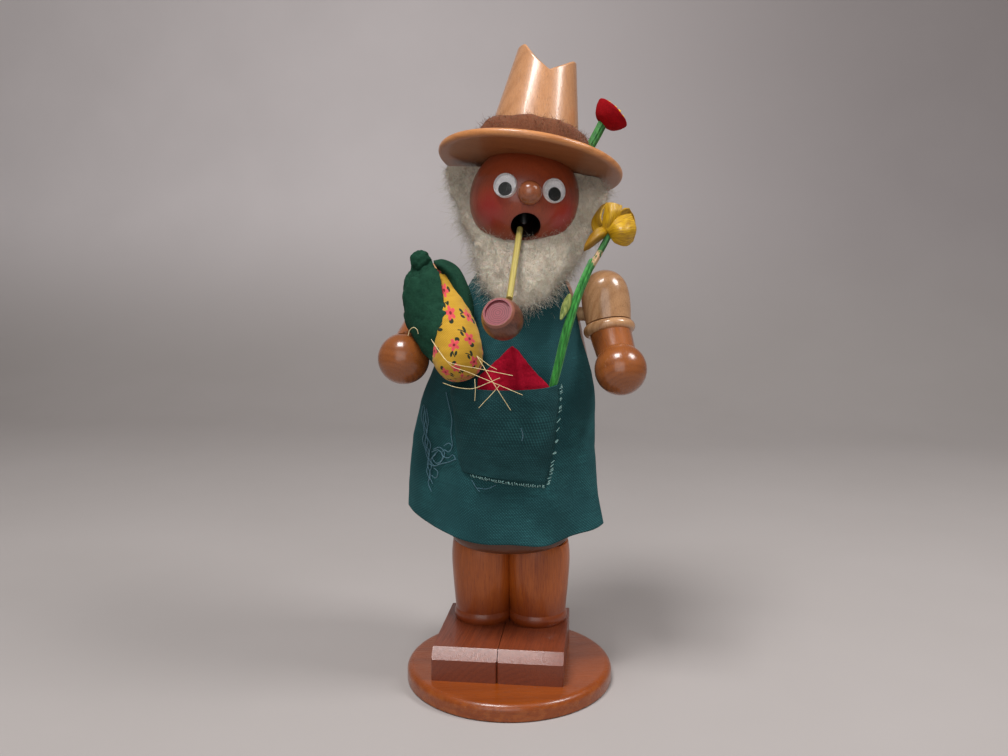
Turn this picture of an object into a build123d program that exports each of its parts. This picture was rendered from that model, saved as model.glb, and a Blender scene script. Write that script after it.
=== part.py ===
from build123d import *

import os
from math import cos, radians, sin, sqrt, tan

# A turned wooden incense smoker: a gardener on a round base.
# Millimetres, +Z up, the figure faces -Y and its own left hand is at +X.
# The origin is the middle of the underside of the base.

os.makedirs("parts", exist_ok=True)

# Clearances and overruns
glue_gap = 0.1
cloth_gap = 0.3
running_gap = 0.3
overrun = 60.0

# Base disc and foot blocks
base_radius = 45.1
base_thickness = 7.3
base_edge_radius = 3.0
base_foot_chamfer = 0.6
shoe_width = 27.6
shoe_height = 13.4
shoe_toe_reach = 26.3
shoe_heel_reach = 28.1
shoe_toe_bevel = 4.2
shoe_edge_chamfer = 0.5
shoe_kerf = 0.3
shoe_pair_shift = 2.4

# Legs, with their dowels
leg_radius = 14.4
leg_height = 36.8
leg_flat_depth = 2.1
leg_dowel_radius = 3.0
leg_dowel_bite = 4.0
leg_bead_shares = ((0.87, 0.0), (0.922, 0.045), (0.922, 0.095), (0.885, 0.135))
leg_barrel_shares = ((0.885, 0.135), (0.935, 0.36), (0.985, 0.62), (1.0, 0.85), (0.955, 1.0))

# Hip block, spigot and incense tray
hip_shift = 1.0
hip_set_back = 14.5
hip_thickness = 6.5
hip_bottom_radius = 26.4
hip_round = 4.6
lean_angle = 2.4
spigot_radius = 21.6
spigot_height = 8.0
spigot_chamfer = 0.8
spigot_clearance = 0.4
tray_radius = 17.0
tray_floor_radius = 14.0
tray_depth = 3.4
tray_metal = 0.5
tack_head_radius = 2.2
tack_head_height = 0.8
tack_shank_radius = 0.6
tack_length = 6.0

# Torso: outline as shares of its largest radius and of its height
torso_radius = 34.0
torso_height = 121.9
torso_outline_shares = (
    (0.795, 0.0), (0.905, 0.13), (0.99, 0.30), (0.995, 0.46), (0.93, 0.60),
    (0.80, 0.75), (0.655, 0.88), (0.37, 1.0),
)
chamber_height = 84.0
chamber_cone_height = 16.0
channel_radius = 5.0
neck_tenon_radius = 8.0
neck_tenon_length = 8.7
air_hole_radius = 4.0
air_hole_height = 18.0

# Head: a ball with a smoke cavity and a slanted mouth
head_radius = 24.0
head_roll = 3.4
head_turn = 9.6
mouth_radius = 6.2
mouth_drop = 29.5
nose_radius = 5.0
nose_proud = 0.6
nose_rise = 4.6

# Wobble eyes
eye_radius = 5.0
eye_spread = 24.8
eye_rise = 9.6
eye_inset = 0.6
eye_cup_depth = 1.7
eye_cup_wall = 0.5
eye_dome_height = 1.4
eye_dome_wall = 0.35
pupil_radius = 2.8
pupil_thickness = 0.7
pupil_clearance = 0.25

# Hat
hat_seat_shares = (0.05, 0.183, 0.653)
hat_pitch = 12.0
hat_roll = 4.9
brim_radius = 40.35
brim_thickness = 3.6
brim_edge_radius = 1.7
crown_bottom_radius = 21.4
crown_top_radius = 12.6
crown_height = 50.1
crown_top_tilt = 7.2
crown_tenon_radius = 7.0
crown_tenon_length = 9.0
gutter_half_width = 12.0
gutter_depth = 7.6
gutter_shoulder_share = 0.55
gutter_shoulder_depth_share = 0.30
band_height = 6.2
band_thickness = 3.2
band_belly_share = 0.45

# Red flower tucked into the hat band
hat_flower_stem_radius = 2.0
hat_flower_stem_length = 15.0
hat_flower_lean = 26.0
hat_flower_radius = 8.2
hat_flower_depth = 6.8
hat_flower_base_radius = 3.4
hat_flower_wall = 1.0
hat_flower_tilt = 41.0
hat_flower_centre_depth = 2.4

# Arms: places are given in the torso's own leaned frame, for the left side
shoulder_out = 34.9
shoulder_front = 2.2
shoulder_height = 116.0
elbow_out = 39.4
elbow_front = 7.6
elbow_height = 91.3
hand_out = 44.9
hand_front = 25.6
hand_height = 76.3
right_hand_reach = 4.0
upper_arm_radius = 10.4
upper_arm_outline_shares = (
    (0.0, 1.0), (0.46, 0.955), (0.80, 0.83), (0.98, 0.60), (0.99, 0.36), (0.90, 0.0),
)
shoulder_flat_out = 26.7
elbow_ring_radius = 11.1
elbow_ring_thickness = 5.0
elbow_turn_share = 0.2
forearm_radius = 8.7
forearm_waist_radius = 7.9
hand_radius = 10.7
tool_hole_radius = 2.6
dowel_radius = 3.0
shoulder_dowel_length = 15.0
shoulder_dowel_drop = 19.0
elbow_dowel_bite = 6.0

# Apron: share of the torso's height, then how far the cloth stands off it in
# the middle and at its right and left ends, with the angles of those ends
apron_thickness = 1.1
bib_stand_off = 1.6
apron_rows = (
    (0.016, 4.4, (12.4, 78.0), (11.3, 72.0)),
    (0.16, 3.4, (12.4, 79.0), (6.4, 74.0)),
    (0.33, 2.6, (11.3, 79.5), (3.0, 76.5)),
    (0.46, 2.2, (8.1, 79.5), (2.4, 77.5)),
    (0.59, 1.9, (5.0, 78.5), (2.0, 77.5)),
    (0.72, bib_stand_off, (bib_stand_off, 68.0), (bib_stand_off, 68.0)),
    (0.85, bib_stand_off, (bib_stand_off, 66.0), (bib_stand_off, 66.0)),
    (0.93, bib_stand_off, (bib_stand_off, 64.0), (bib_stand_off, 64.0)),
)
fold_depth = 1.5
fold_fade_share = 0.54
hem_rise = 6.5
pocket_rows = (
    # share of the torso's height, right and left end angles, gape in the middle
    (0.24, 25.0, 30.0, 0.3),
    (0.36, 29.0, 33.0, 2.4),
    (0.47, 35.0, 37.0, 4.4),
    (0.563, 43.0, 42.0, 5.6),
)
pocket_thickness = 0.9

# Kerchief in the pocket
kerchief_width = 27.4
kerchief_height = 16.5
kerchief_tuck = 5.0
kerchief_thickness = 1.2
kerchief_shift = 1.8
kerchief_back_lean = 8.0

# Pipe
stem_radius = 1.3
stem_inner = (0.0, -16.0, -12.6)
stem_outer = (0.2, -47.5, -40.6)
bowl_centre = (-2.0, -49.5, -48.5)
bowl_length = 13.0
bowl_radius = 8.0
bowl_turn = 13.6
bowl_rise = 28.0
bowl_outline_shares = ((0.62, -0.5), (0.93, -0.30), (1.0, -0.02), (0.92, 0.28), (0.74, 0.5))
bowl_recess_share = 0.62
bowl_recess_depth = 0.8

# Flower in the pocket
sheath_low = (17.9, -34.2, 62.0)
sheath_middle = (22.4, -31.4, 92.3)
sheath_top = (30.1, -23.5, 117.6)
sheath_width = 4.1
sheath_depth = 3.0
flower_stem_radius = 1.3
flower_stem_socket = 3.0
flower_stem_end = (37.5, -20.5, 131.7)
flower_radius = 11.5
flower_depth = 9.0
flower_wall = 0.9
flower_cone_radius = 2.0
flower_petals = 5
flower_slit = 1.8
side_leaf_place_share = 0.7
side_leaf_length = 9.0
side_leaf_width = 3.6
side_leaf_thickness = 0.8

# Stuffed corn cob with its husk and silk
corn_low = (-20.8, -38.4, 79.6)
corn_high = (-31.8, -22.5, 113.8)
corn_radius = 10.0
corn_top_radius = 5.0
husk_thickness = 1.8
husk_pod_radius = 11.2
husk_pod_end_radius = 4.6
husk_pod_shares = ((0.4, 0.0), (1.0, 0.45), (0.9, 0.75), (0.4, 1.0))
husk_pod_shift = (-7.2, 2.0, 2.0)
husk_turn = 34.0
husk_knob_radius = 4.0
inner_leaf_length = 24.0
inner_leaf_width = 11.0
inner_leaf_lean = 17.0
silk_radius = 0.3
silk_ends = (
    (20.0, -3.0, 2.0), (27.0, -2.0, -3.0), (24.0, -4.0, -14.0), (31.0, -3.0, -9.0),
    (12.0, -4.0, -13.0), (16.0, -3.0, -4.0),
)

# Wool beard and hair, in the head's leaned frame about the ball's centre
beard_rows = (
    # height, centre out, centre back, half width, half depth
    (5.0, 2.0, 4.0, 35.0, 9.0),
    (-11.0, 2.4, 0.0, 28.5, 11.0),
    (-20.0, 2.8, -6.0, 24.0, 13.0),
    (-30.0, 3.2, -15.0, 20.5, 12.0),
    (-38.5, 4.2, -22.5, 14.5, 8.5),
    (-44.5, 5.3, -28.0, 4.0, 3.0),
)
hair_radius = 33.0
hair_bottom = 21.0
hair_start = 13.4

# Places that follow from the sizes above
shoe_top = base_thickness + shoe_height
chamber_radius = spigot_radius + spigot_clearance
hip_underside = shoe_top + leg_height
seat_height = hip_underside + hip_thickness
trunk = Plane(Location((-hip_shift, hip_set_back, seat_height), (0, lean_angle, 0)))
head_rise = torso_height + sqrt(head_radius**2 - neck_tenon_radius**2)
head = Plane(trunk * Location((0, 0, head_rise), (0, head_roll, head_turn)))
hat_place = tuple(share * head_radius for share in hat_seat_shares)
hat = Plane(
    trunk
    * Location((hat_place[0], hat_place[1], head_rise + hat_place[2]), (-hat_pitch, hat_roll, 0))
)
stack_gap = bib_stand_off + cloth_gap


def upright(frame):
    """The plane that holds a turned profile: x is the radius and y the height."""
    return Plane(origin=frame.origin, x_dir=frame.x_dir, z_dir=-frame.y_dir)


def turn(frame, rows, mode=Mode.ADD, smooth=True):
    """Turn a profile of (radius, height) rows about the frame's z axis."""
    with BuildSketch(upright(frame)) as profile:
        with BuildLine():
            if smooth:
                outline = Spline(*rows)
            else:
                outline = Polyline(*rows)
            low = (0, rows[0][1])
            high = (0, rows[-1][1])
            if rows[-1][0] > 0:
                Line(outline @ 1, high)
            Line(high, low)
            if rows[0][0] > 0:
                Line(low, outline @ 0)
        make_face()
    revolve(profile.sketch, axis=Axis(frame.origin, frame.z_dir), mode=mode)


def rod(start, end, radius, mode=Mode.ADD):
    """A round rod between two points."""
    run = Plane(origin=start, z_dir=end - start)
    with Locations(run.location):
        Cylinder(
            radius,
            (end - start).length,
            align=(Align.CENTER, Align.CENTER, Align.MIN),
            mode=mode,
        )


def on_trunk(out, back, height):
    """A point given in the leaned frame of the trunk."""
    return trunk.from_local_coords(Vector(out, back, height))


def by_head(place):
    """A point given in the trunk's leaned frame from the middle of the head."""
    return on_trunk(place[0], place[1], head_rise + place[2])


def facing(side_angle, rise_angle):
    """The direction at these angles from the middle of the face."""
    flat = cos(radians(rise_angle))
    local = Vector(
        flat * sin(radians(side_angle)), -flat * cos(radians(side_angle)), sin(radians(rise_angle))
    )
    return head.from_local_coords(local) - head.origin


def scaled(shares, radius, height):
    """Rows of shares turned into rows of sizes."""
    return [(out * radius, up * height) for out, up in shares]


torso_rows = scaled(torso_outline_shares, torso_radius, torso_height)
torso_curve = Spline(*torso_rows)


def torso_radius_at(height):
    """Radius of the torso's outline at a height over its seat."""
    low = 0.0
    high = 1.0
    for halving in range(24):
        middle = (low + high) / 2
        if (torso_curve @ middle).Y < height:
            low = middle
        else:
            high = middle
    return (torso_curve @ low).X


def leg_plane(side, height=0.0):
    """The plane of one leg's axis, at a height over the shoe; side is -1 or 1."""
    out = leg_radius - leg_flat_depth + glue_gap / 2
    return Plane(origin=(side * out - hip_shift, hip_set_back, shoe_top + height))


sides = (("right", -1), ("left", 1))
dowel_bottom = shoe_height + leg_dowel_bite
dowel_top = leg_height + leg_dowel_bite

# Base disc, drilled for the two leg dowels
with BuildPart() as base_disc:
    Cylinder(base_radius, base_thickness, align=(Align.CENTER, Align.CENTER, Align.MIN))
    rims = base_disc.edges().filter_by(GeomType.CIRCLE).sort_by(Axis.Z)
    fillet(rims[-1], base_edge_radius)
    rims = base_disc.edges().filter_by(GeomType.CIRCLE).sort_by(Axis.Z)
    chamfer(rims[0], base_foot_chamfer)
    for name, side in sides:
        with Locations(leg_plane(side, -dowel_bottom).location):
            Cylinder(
                leg_dowel_radius + glue_gap,
                leg_dowel_bite + overrun,
                align=(Align.CENTER, Align.CENTER, Align.MIN),
                mode=Mode.SUBTRACT,
            )
base_disc.part.label = "base_disc"
export_step(base_disc.part, "parts/base_disc.step")

# Foot blocks, sawn square, with a bevelled toe and a kerf between them
shoe_length = shoe_toe_reach + shoe_heel_reach
shoe_middle = (shoe_heel_reach - shoe_toe_reach) / 2
for name, side in sides:
    out = side * (shoe_width + shoe_kerf) / 2 - shoe_pair_shift
    with BuildPart(Plane.XY.offset(base_thickness)) as shoe:
        with Locations((out, shoe_middle, 0)):
            Box(
                shoe_width,
                shoe_length,
                shoe_height,
                align=(Align.CENTER, Align.CENTER, Align.MIN),
            )
        toe = shoe.edges().filter_by(Axis.X).group_by(Axis.Y)[0].sort_by(Axis.Z)[-1]
        chamfer(toe, shoe_toe_bevel)
        chamfer(shoe.edges().filter_by(Axis.Z), shoe_edge_chamfer)
        with Locations(leg_plane(side, -shoe_height).location):
            Cylinder(
                leg_dowel_radius + glue_gap,
                2 * shoe_height + overrun,
                mode=Mode.SUBTRACT,
            )
    shoe.part.label = f"{name}_shoe"
    export_step(shoe.part, f"parts/{name}_shoe.step")

# Turned legs: an ankle bead, then a barrel, planed flat where the two meet
for name, side in sides:
    frame = leg_plane(side)
    with BuildPart() as leg:
        with BuildSketch(upright(frame)) as leg_profile:
            with BuildLine():
                bead = Spline(*scaled(leg_bead_shares, leg_radius, leg_height))
                barrel = Spline(*scaled(leg_barrel_shares, leg_radius, leg_height))
                Line(barrel @ 1, (0, leg_height))
                Line((0, leg_height), (0, 0))
                Line((0, 0), bead @ 0)
            make_face()
        revolve(leg_profile.sketch, axis=Axis(frame.origin, frame.z_dir))
        flat_plane = Plane(origin=(-hip_shift + side * glue_gap / 2, 0, 0), z_dir=(side, 0, 0))
        split(bisect_by=flat_plane, keep=Keep.TOP)
        with Locations(frame.location):
            Cylinder(leg_dowel_radius + glue_gap, 2 * leg_height + overrun, mode=Mode.SUBTRACT)
    leg.part.label = f"{name}_leg"
    export_step(leg.part, f"parts/{name}_leg.step")

# Long dowels through feet and legs
with BuildPart() as leg_dowels:
    for name, side in sides:
        low = leg_plane(side, glue_gap - dowel_bottom).origin
        high = leg_plane(side, dowel_top - glue_gap).origin
        rod(low, high, leg_dowel_radius)
leg_dowels.part.label = "leg_dowels"
export_step(leg_dowels.part, "parts/leg_dowels.step")

# Hip block: level below, its seat and spigot square to the leaning trunk
seat_radius = torso_rows[0][0]
hip_reach = 2 * hip_thickness
with BuildPart() as hip_block:
    turn(
        trunk,
        [(hip_bottom_radius, -hip_reach), (seat_radius, -spigot_chamfer), (seat_radius, 0)],
        smooth=False,
    )
    turn(
        trunk,
        [
            (spigot_radius, 0),
            (spigot_radius, spigot_height - spigot_chamfer),
            (spigot_radius - spigot_chamfer, spigot_height),
        ],
        smooth=False,
    )
    split(bisect_by=Plane.XY.offset(hip_underside), keep=Keep.TOP)
    fillet(hip_block.edges().group_by(Axis.Z)[0], hip_round)
    for name, side in sides:
        low = leg_plane(side, 0).origin
        high = leg_plane(side, dowel_top).origin
        rod(low, high, leg_dowel_radius + glue_gap, mode=Mode.SUBTRACT)
    tack_low = on_trunk(0, 0, spigot_height - tack_length)
    tack_high = on_trunk(0, 0, spigot_height + overrun)
    rod(tack_low, tack_high, tack_shank_radius + glue_gap, mode=Mode.SUBTRACT)
hip_block.part.label = "hip_block"
export_step(hip_block.part, "parts/hip_block.step")

# Pressed dish that the incense cone stands in
tray_floor = spigot_height
with BuildPart() as incense_tray:
    turn(
        trunk,
        [(tray_floor_radius, tray_floor), (tray_radius, tray_floor + tray_depth)],
        smooth=False,
    )
    turn(
        trunk,
        [
            (tray_floor_radius - tray_metal, tray_floor + tray_metal),
            (tray_radius - tray_metal, tray_floor + tray_depth),
        ],
        mode=Mode.SUBTRACT,
        smooth=False,
    )
    rod(tack_low, tack_high, tack_shank_radius + glue_gap, mode=Mode.SUBTRACT)
incense_tray.part.label = "incense_tray"
export_step(incense_tray.part, "parts/incense_tray.step")

# Tack through the dish into the spigot
tack_seat = tray_floor + tray_metal
with BuildPart() as tray_tack:
    turn(
        trunk,
        [
            (tack_shank_radius, spigot_height - tack_length + glue_gap),
            (tack_shank_radius, tack_seat),
            (tack_head_radius, tack_seat),
            (tack_head_radius * sin(radians(45)), tack_seat + tack_head_height * cos(radians(45))),
            (0, tack_seat + tack_head_height),
        ],
        smooth=False,
    )
tray_tack.part.label = "tray_tack"
export_step(tray_tack.part, "parts/tray_tack.step")

# Hollow torso: bored from below, with the smoke channel up through the neck
seat_lift = running_gap
chamber_top = chamber_height + chamber_cone_height
tenon_top = torso_height + neck_tenon_length
shoulder_dowel_height = shoulder_height - shoulder_dowel_drop
with BuildPart() as torso:
    turn(trunk, torso_rows)
    split(bisect_by=trunk.offset(seat_lift), keep=Keep.TOP)
    rod(on_trunk(0, 0, torso_height / 2), on_trunk(0, 0, tenon_top), neck_tenon_radius)
    turn(
        trunk,
        [
            (chamber_radius, -overrun),
            (chamber_radius, chamber_height),
            (channel_radius, chamber_top),
            (channel_radius, tenon_top + overrun),
        ],
        mode=Mode.SUBTRACT,
        smooth=False,
    )
    rod(
        on_trunk(0, 0, air_hole_height),
        on_trunk(0, overrun, air_hole_height),
        air_hole_radius,
        mode=Mode.SUBTRACT,
    )
    for name, side in sides:
        pin_start = side * (shoulder_flat_out - shoulder_dowel_length / 2)
        rod(
            on_trunk(pin_start, -shoulder_front, shoulder_dowel_height),
            on_trunk(side * overrun, -shoulder_front, shoulder_dowel_height),
            dowel_radius + glue_gap,
            mode=Mode.SUBTRACT,
        )
torso.part.label = "torso"
export_step(torso.part, "parts/torso.step")

# Ball head, sawn flat under the brim, with the smoke cavity and the mouth
mouth_way = facing(0, -mouth_drop)
hat_under = hat.offset(-brim_thickness / 2)
nose_centre = head.origin + facing(0, nose_rise) * (head_radius + nose_proud)
with BuildPart() as head_ball:
    with Locations(head.location):
        Sphere(head_radius)
    split(bisect_by=hat_under, keep=Keep.BOTTOM)
    rod(
        on_trunk(0, 0, torso_height - overrun),
        on_trunk(0, 0, tenon_top + glue_gap),
        neck_tenon_radius + glue_gap,
        mode=Mode.SUBTRACT,
    )
    rod(on_trunk(0, 0, torso_height), head.origin, channel_radius, mode=Mode.SUBTRACT)
    rod(head.origin, head.origin + mouth_way * overrun, mouth_radius, mode=Mode.SUBTRACT)
    with Locations(head.location):
        Sphere(mouth_radius, mode=Mode.SUBTRACT)
    with Locations(Location(nose_centre)):
        Sphere(nose_radius + glue_gap, mode=Mode.SUBTRACT)
    for name, side in sides:
        eye_way = facing(side * eye_spread, eye_rise)
        rod(
            head.origin + eye_way * (head_radius - eye_inset),
            head.origin + eye_way * (head_radius + overrun),
            eye_radius + glue_gap,
            mode=Mode.SUBTRACT,
        )
    tenon_low = hat.offset(-crown_tenon_length).origin
    rod(tenon_low, hat.origin, crown_tenon_radius + glue_gap, mode=Mode.SUBTRACT)
head_ball.part.label = "head"
export_step(head_ball.part, "parts/head.step")

# Nose ball, let into the face
with BuildPart() as nose:
    with Locations(Location(nose_centre)):
        Sphere(nose_radius)
nose.part.label = "nose"
export_step(nose.part, "parts/nose.step")


def eye_plane(side):
    """Seat of one eye: z points out of the face and y as far up as it can."""
    way = facing(side * eye_spread, eye_rise)
    return Plane(
        origin=head.origin + way * (head_radius - eye_inset),
        x_dir=Vector(0, 0, 1).cross(way),
        z_dir=way,
    )


# Wobble eyes: a white cup, a loose black pupil and a clear domed lens
pupil_drop = eye_radius - eye_cup_wall - pupil_radius - pupil_clearance
dome_inner_radius = eye_radius - eye_dome_wall
dome_inner_height = eye_dome_height - eye_dome_wall
for name, side in sides:
    seat = eye_plane(side)
    with BuildPart() as eye_cup:
        turn(seat, [(eye_radius, 0), (eye_radius, eye_cup_depth)], smooth=False)
        turn(
            seat,
            [
                (eye_radius - eye_cup_wall, eye_cup_wall),
                (eye_radius - eye_cup_wall, eye_cup_depth),
            ],
            mode=Mode.SUBTRACT,
            smooth=False,
        )
    eye_cup.part.label = f"{name}_eye_cup"
    export_step(eye_cup.part, f"parts/{name}_eye_cup.step")

    with BuildPart() as eye_dome:
        dome_seat = seat.offset(eye_cup_depth)
        turn(
            dome_seat,
            [
                (eye_radius, 0),
                (eye_radius * cos(radians(45)), eye_dome_height * sin(radians(45))),
                (0, eye_dome_height),
            ],
        )
        turn(
            dome_seat,
            [
                (dome_inner_radius, 0),
                (dome_inner_radius * cos(radians(45)), dome_inner_height * sin(radians(45))),
                (0, dome_inner_height),
            ],
            mode=Mode.SUBTRACT,
        )
    eye_dome.part.label = f"{name}_eye_dome"
    export_step(eye_dome.part, f"parts/{name}_eye_dome.step")

    with BuildPart() as pupil:
        pupil_seat = seat.offset(eye_cup_wall + pupil_clearance)
        with Locations(pupil_seat.location * Location((0, -pupil_drop, 0))):
            Cylinder(
                pupil_radius, pupil_thickness, align=(Align.CENTER, Align.CENTER, Align.MIN)
            )
    pupil.part.label = f"{name}_pupil"
    export_step(pupil.part, f"parts/{name}_pupil.step")

# Hat brim with a rounded edge
with BuildPart() as hat_brim:
    turn(hat_under, [(brim_radius, 0), (brim_radius, brim_thickness)], smooth=False)
    fillet(hat_brim.edges().filter_by(GeomType.CIRCLE), brim_edge_radius)
    rod(tenon_low, hat.offset(overrun).origin, crown_tenon_radius + glue_gap, mode=Mode.SUBTRACT)
hat_brim.part.label = "hat_brim"
export_step(hat_brim.part, "parts/hat_brim.step")

# Hat crown: a cone with a gutter from front to back, and a tenon into the head
hat_top = hat.offset(brim_thickness / 2)
crown_slope = (crown_bottom_radius - crown_top_radius) / crown_height
crown_top = Plane(
    hat_top.location * Location((0, 0, crown_height), (0, crown_top_tilt, 0))
)
with BuildPart() as hat_crown:
    crown_tip = crown_height + gutter_depth
    tip_radius = crown_bottom_radius - crown_slope * crown_tip
    turn(hat_top, [(crown_bottom_radius, 0), (tip_radius, crown_tip)], smooth=False)
    split(bisect_by=crown_top, keep=Keep.BOTTOM)
    rod(hat.offset(glue_gap - crown_tenon_length).origin, hat_top.origin, crown_tenon_radius)
    with BuildSketch(upright(crown_top)) as gutter_profile:
        with BuildLine():
            for side in (-1, 1):
                shoulder = (
                    side * gutter_half_width * gutter_shoulder_share,
                    -gutter_depth * gutter_shoulder_depth_share,
                )
                Line((0, -gutter_depth), shoulder)
                RadiusArc(shoulder, (side * gutter_half_width, 0), -side * gutter_half_width)
            Polyline(
                (-gutter_half_width, 0),
                (-gutter_half_width, overrun),
                (gutter_half_width, overrun),
                (gutter_half_width, 0),
            )
        make_face()
    extrude(gutter_profile.sketch, amount=overrun, both=True, mode=Mode.SUBTRACT)
hat_crown.part.label = "hat_crown"
export_step(hat_crown.part, "parts/hat_crown.step")

# Felted wool roll round the foot of the crown
band_foot_radius = crown_bottom_radius + glue_gap
band_head_radius = band_foot_radius - crown_slope * band_height
with BuildPart() as hat_band:
    with BuildSketch(upright(hat_top.offset(glue_gap))) as band_profile:
        with BuildLine():
            Line((band_foot_radius, 0), (band_head_radius, band_height))
            ThreePointArc(
                (band_head_radius, band_height),
                (band_foot_radius + band_thickness, band_height * band_belly_share),
                (band_foot_radius, 0),
            )
        make_face()
    revolve(band_profile.sketch, axis=Axis(hat.origin, hat.z_dir))
hat_band.part.label = "hat_band"
export_step(hat_band.part, "parts/hat_band.step")

# Red flower in the band: stem, cupped head and yellow centre
flower_foot_place = (band_foot_radius + band_thickness / 2, 0, band_height)
flower_foot = Plane(
    hat_top.location * Location(flower_foot_place, (0, hat_flower_lean - hat_roll, 0))
)
flower_neck = flower_foot.offset(hat_flower_stem_length)
flower_cup = Plane(
    flower_neck.location * Location((0, 0, 0), (0, hat_flower_tilt - hat_flower_lean, 0))
)
with BuildPart() as hat_flower_stem:
    rod(flower_foot.origin, flower_neck.origin, hat_flower_stem_radius)
hat_flower_stem.part.label = "hat_flower_stem"
export_step(hat_flower_stem.part, "parts/hat_flower_stem.step")

with BuildPart() as hat_flower_head:
    turn(
        flower_cup,
        [
            (hat_flower_base_radius, 0),
            ((hat_flower_base_radius + hat_flower_radius) / 2, hat_flower_depth / 4),
            (hat_flower_radius, hat_flower_depth),
        ],
    )
    turn(
        flower_cup.offset(hat_flower_depth - hat_flower_centre_depth),
        [
            (hat_flower_radius - 2 * hat_flower_wall, 0),
            (hat_flower_radius - hat_flower_wall, hat_flower_centre_depth),
        ],
        mode=Mode.SUBTRACT,
        smooth=False,
    )
    rod(flower_foot.origin, flower_neck.origin, hat_flower_stem_radius, mode=Mode.SUBTRACT)
hat_flower_head.part.label = "hat_flower_head"
export_step(hat_flower_head.part, "parts/hat_flower_head.step")

with BuildPart() as hat_flower_centre:
    turn(
        flower_cup.offset(hat_flower_depth - hat_flower_centre_depth),
        [
            (hat_flower_radius - 2 * hat_flower_wall - glue_gap, 0),
            (hat_flower_radius - hat_flower_wall - glue_gap, hat_flower_centre_depth),
            (0, hat_flower_centre_depth + hat_flower_wall),
        ],
        smooth=False,
    )
hat_flower_centre.part.label = "hat_flower_centre"
export_step(hat_flower_centre.part, "parts/hat_flower_centre.step")

# Arms
hand_reaches = {"right": right_hand_reach, "left": 0.0}
shoulder_pins = []
elbow_pins = []
for name, side in sides:
    top = on_trunk(side * shoulder_out, -shoulder_front, shoulder_height)
    elbow = on_trunk(side * elbow_out, -elbow_front, elbow_height)
    palm = on_trunk(side * hand_out, -hand_front - hand_reaches[name], hand_height)
    down = (elbow - top).normalized()
    fore = (palm - elbow).normalized()
    ring_way = (down * (1 - elbow_turn_share) + fore * elbow_turn_share).normalized()
    arm_frame = Plane(origin=elbow, z_dir=-down)
    ring_frame = Plane(origin=elbow, z_dir=-ring_way)
    fore_frame = Plane(origin=elbow, z_dir=fore)
    arm_length = (elbow - top).length
    fore_length = (palm - elbow).length
    ring_upper = ring_frame.offset(elbow_ring_thickness / 2 + glue_gap)
    ring_lower = ring_frame.offset(-elbow_ring_thickness / 2 - glue_gap)
    pin_height = shoulder_dowel_height
    pin_half = shoulder_dowel_length / 2
    shoulder_pin = (
        on_trunk(side * (shoulder_flat_out - pin_half + glue_gap), -shoulder_front, pin_height),
        on_trunk(side * (shoulder_flat_out + pin_half), -shoulder_front, pin_height),
    )
    elbow_pin = (elbow - down * elbow_dowel_bite, elbow + fore * elbow_dowel_bite)
    shoulder_pins.append(shoulder_pin)
    elbow_pins.append((elbow, elbow_pin))

    # Egg shaped upper arm, planed flat where it meets the shoulder
    with BuildPart() as upper_arm:
        egg_rows = scaled(reversed(upper_arm_outline_shares), upper_arm_radius, arm_length)
        turn(arm_frame, egg_rows)
        split(bisect_by=ring_upper, keep=Keep.TOP)
        shoulder_flat = Plane(
            origin=on_trunk(side * shoulder_flat_out, 0, 0), z_dir=trunk.x_dir * side
        )
        split(bisect_by=shoulder_flat, keep=Keep.TOP)
        hole_radius = dowel_radius + glue_gap
        hole_end = shoulder_pin[1] + trunk.x_dir * side * glue_gap
        rod(shoulder_pin[0], hole_end, hole_radius, mode=Mode.SUBTRACT)
        rod(elbow, elbow - down * (elbow_dowel_bite + glue_gap), hole_radius, mode=Mode.SUBTRACT)
    upper_arm.part.label = f"{name}_upper_arm"
    export_step(upper_arm.part, f"parts/{name}_upper_arm.step")

    # Turned ring at the elbow
    with BuildPart() as elbow_ring:
        half = elbow_ring_thickness / 2
        turn(
            ring_frame,
            [
                (elbow_ring_radius - half, -half),
                (elbow_ring_radius - half * (1 - cos(radians(45))), -half * sin(radians(45))),
                (elbow_ring_radius, 0),
                (elbow_ring_radius - half * (1 - cos(radians(45))), half * sin(radians(45))),
                (elbow_ring_radius - half, half),
            ],
        )
        rod(elbow, elbow_pin[0], dowel_radius + glue_gap, mode=Mode.SUBTRACT)
        rod(elbow, elbow_pin[1], dowel_radius + glue_gap, mode=Mode.SUBTRACT)
        with Locations(Location(elbow)):
            Sphere(dowel_radius + glue_gap, mode=Mode.SUBTRACT)
    elbow_ring.part.label = f"{name}_elbow_ring"
    export_step(elbow_ring.part, f"parts/{name}_elbow_ring.step")

    # Forearm and ball hand in one piece; the right hand is drilled for a tool
    with BuildPart() as forearm:
        turn(
            fore_frame,
            [
                (forearm_radius, -elbow_ring_radius),
                (forearm_radius, elbow_ring_thickness),
                (forearm_waist_radius, fore_length - hand_radius / 2),
                (forearm_waist_radius, fore_length),
            ],
            smooth=False,
        )
        split(bisect_by=ring_lower, keep=Keep.BOTTOM)
        with Locations(Location(palm)):
            Sphere(hand_radius)
        rod(elbow, elbow + fore * (elbow_dowel_bite + glue_gap), hole_radius, mode=Mode.SUBTRACT)
        if name == "right":
            rod(
                palm - trunk.z_dir * overrun,
                palm + trunk.z_dir * overrun,
                tool_hole_radius,
                mode=Mode.SUBTRACT,
            )
    forearm.part.label = f"{name}_forearm"
    export_step(forearm.part, f"parts/{name}_forearm.step")

with BuildPart() as shoulder_dowels:
    for start, end in shoulder_pins:
        rod(start, end, dowel_radius)
shoulder_dowels.part.label = "shoulder_dowels"
export_step(shoulder_dowels.part, "parts/shoulder_dowels.step")

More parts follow.
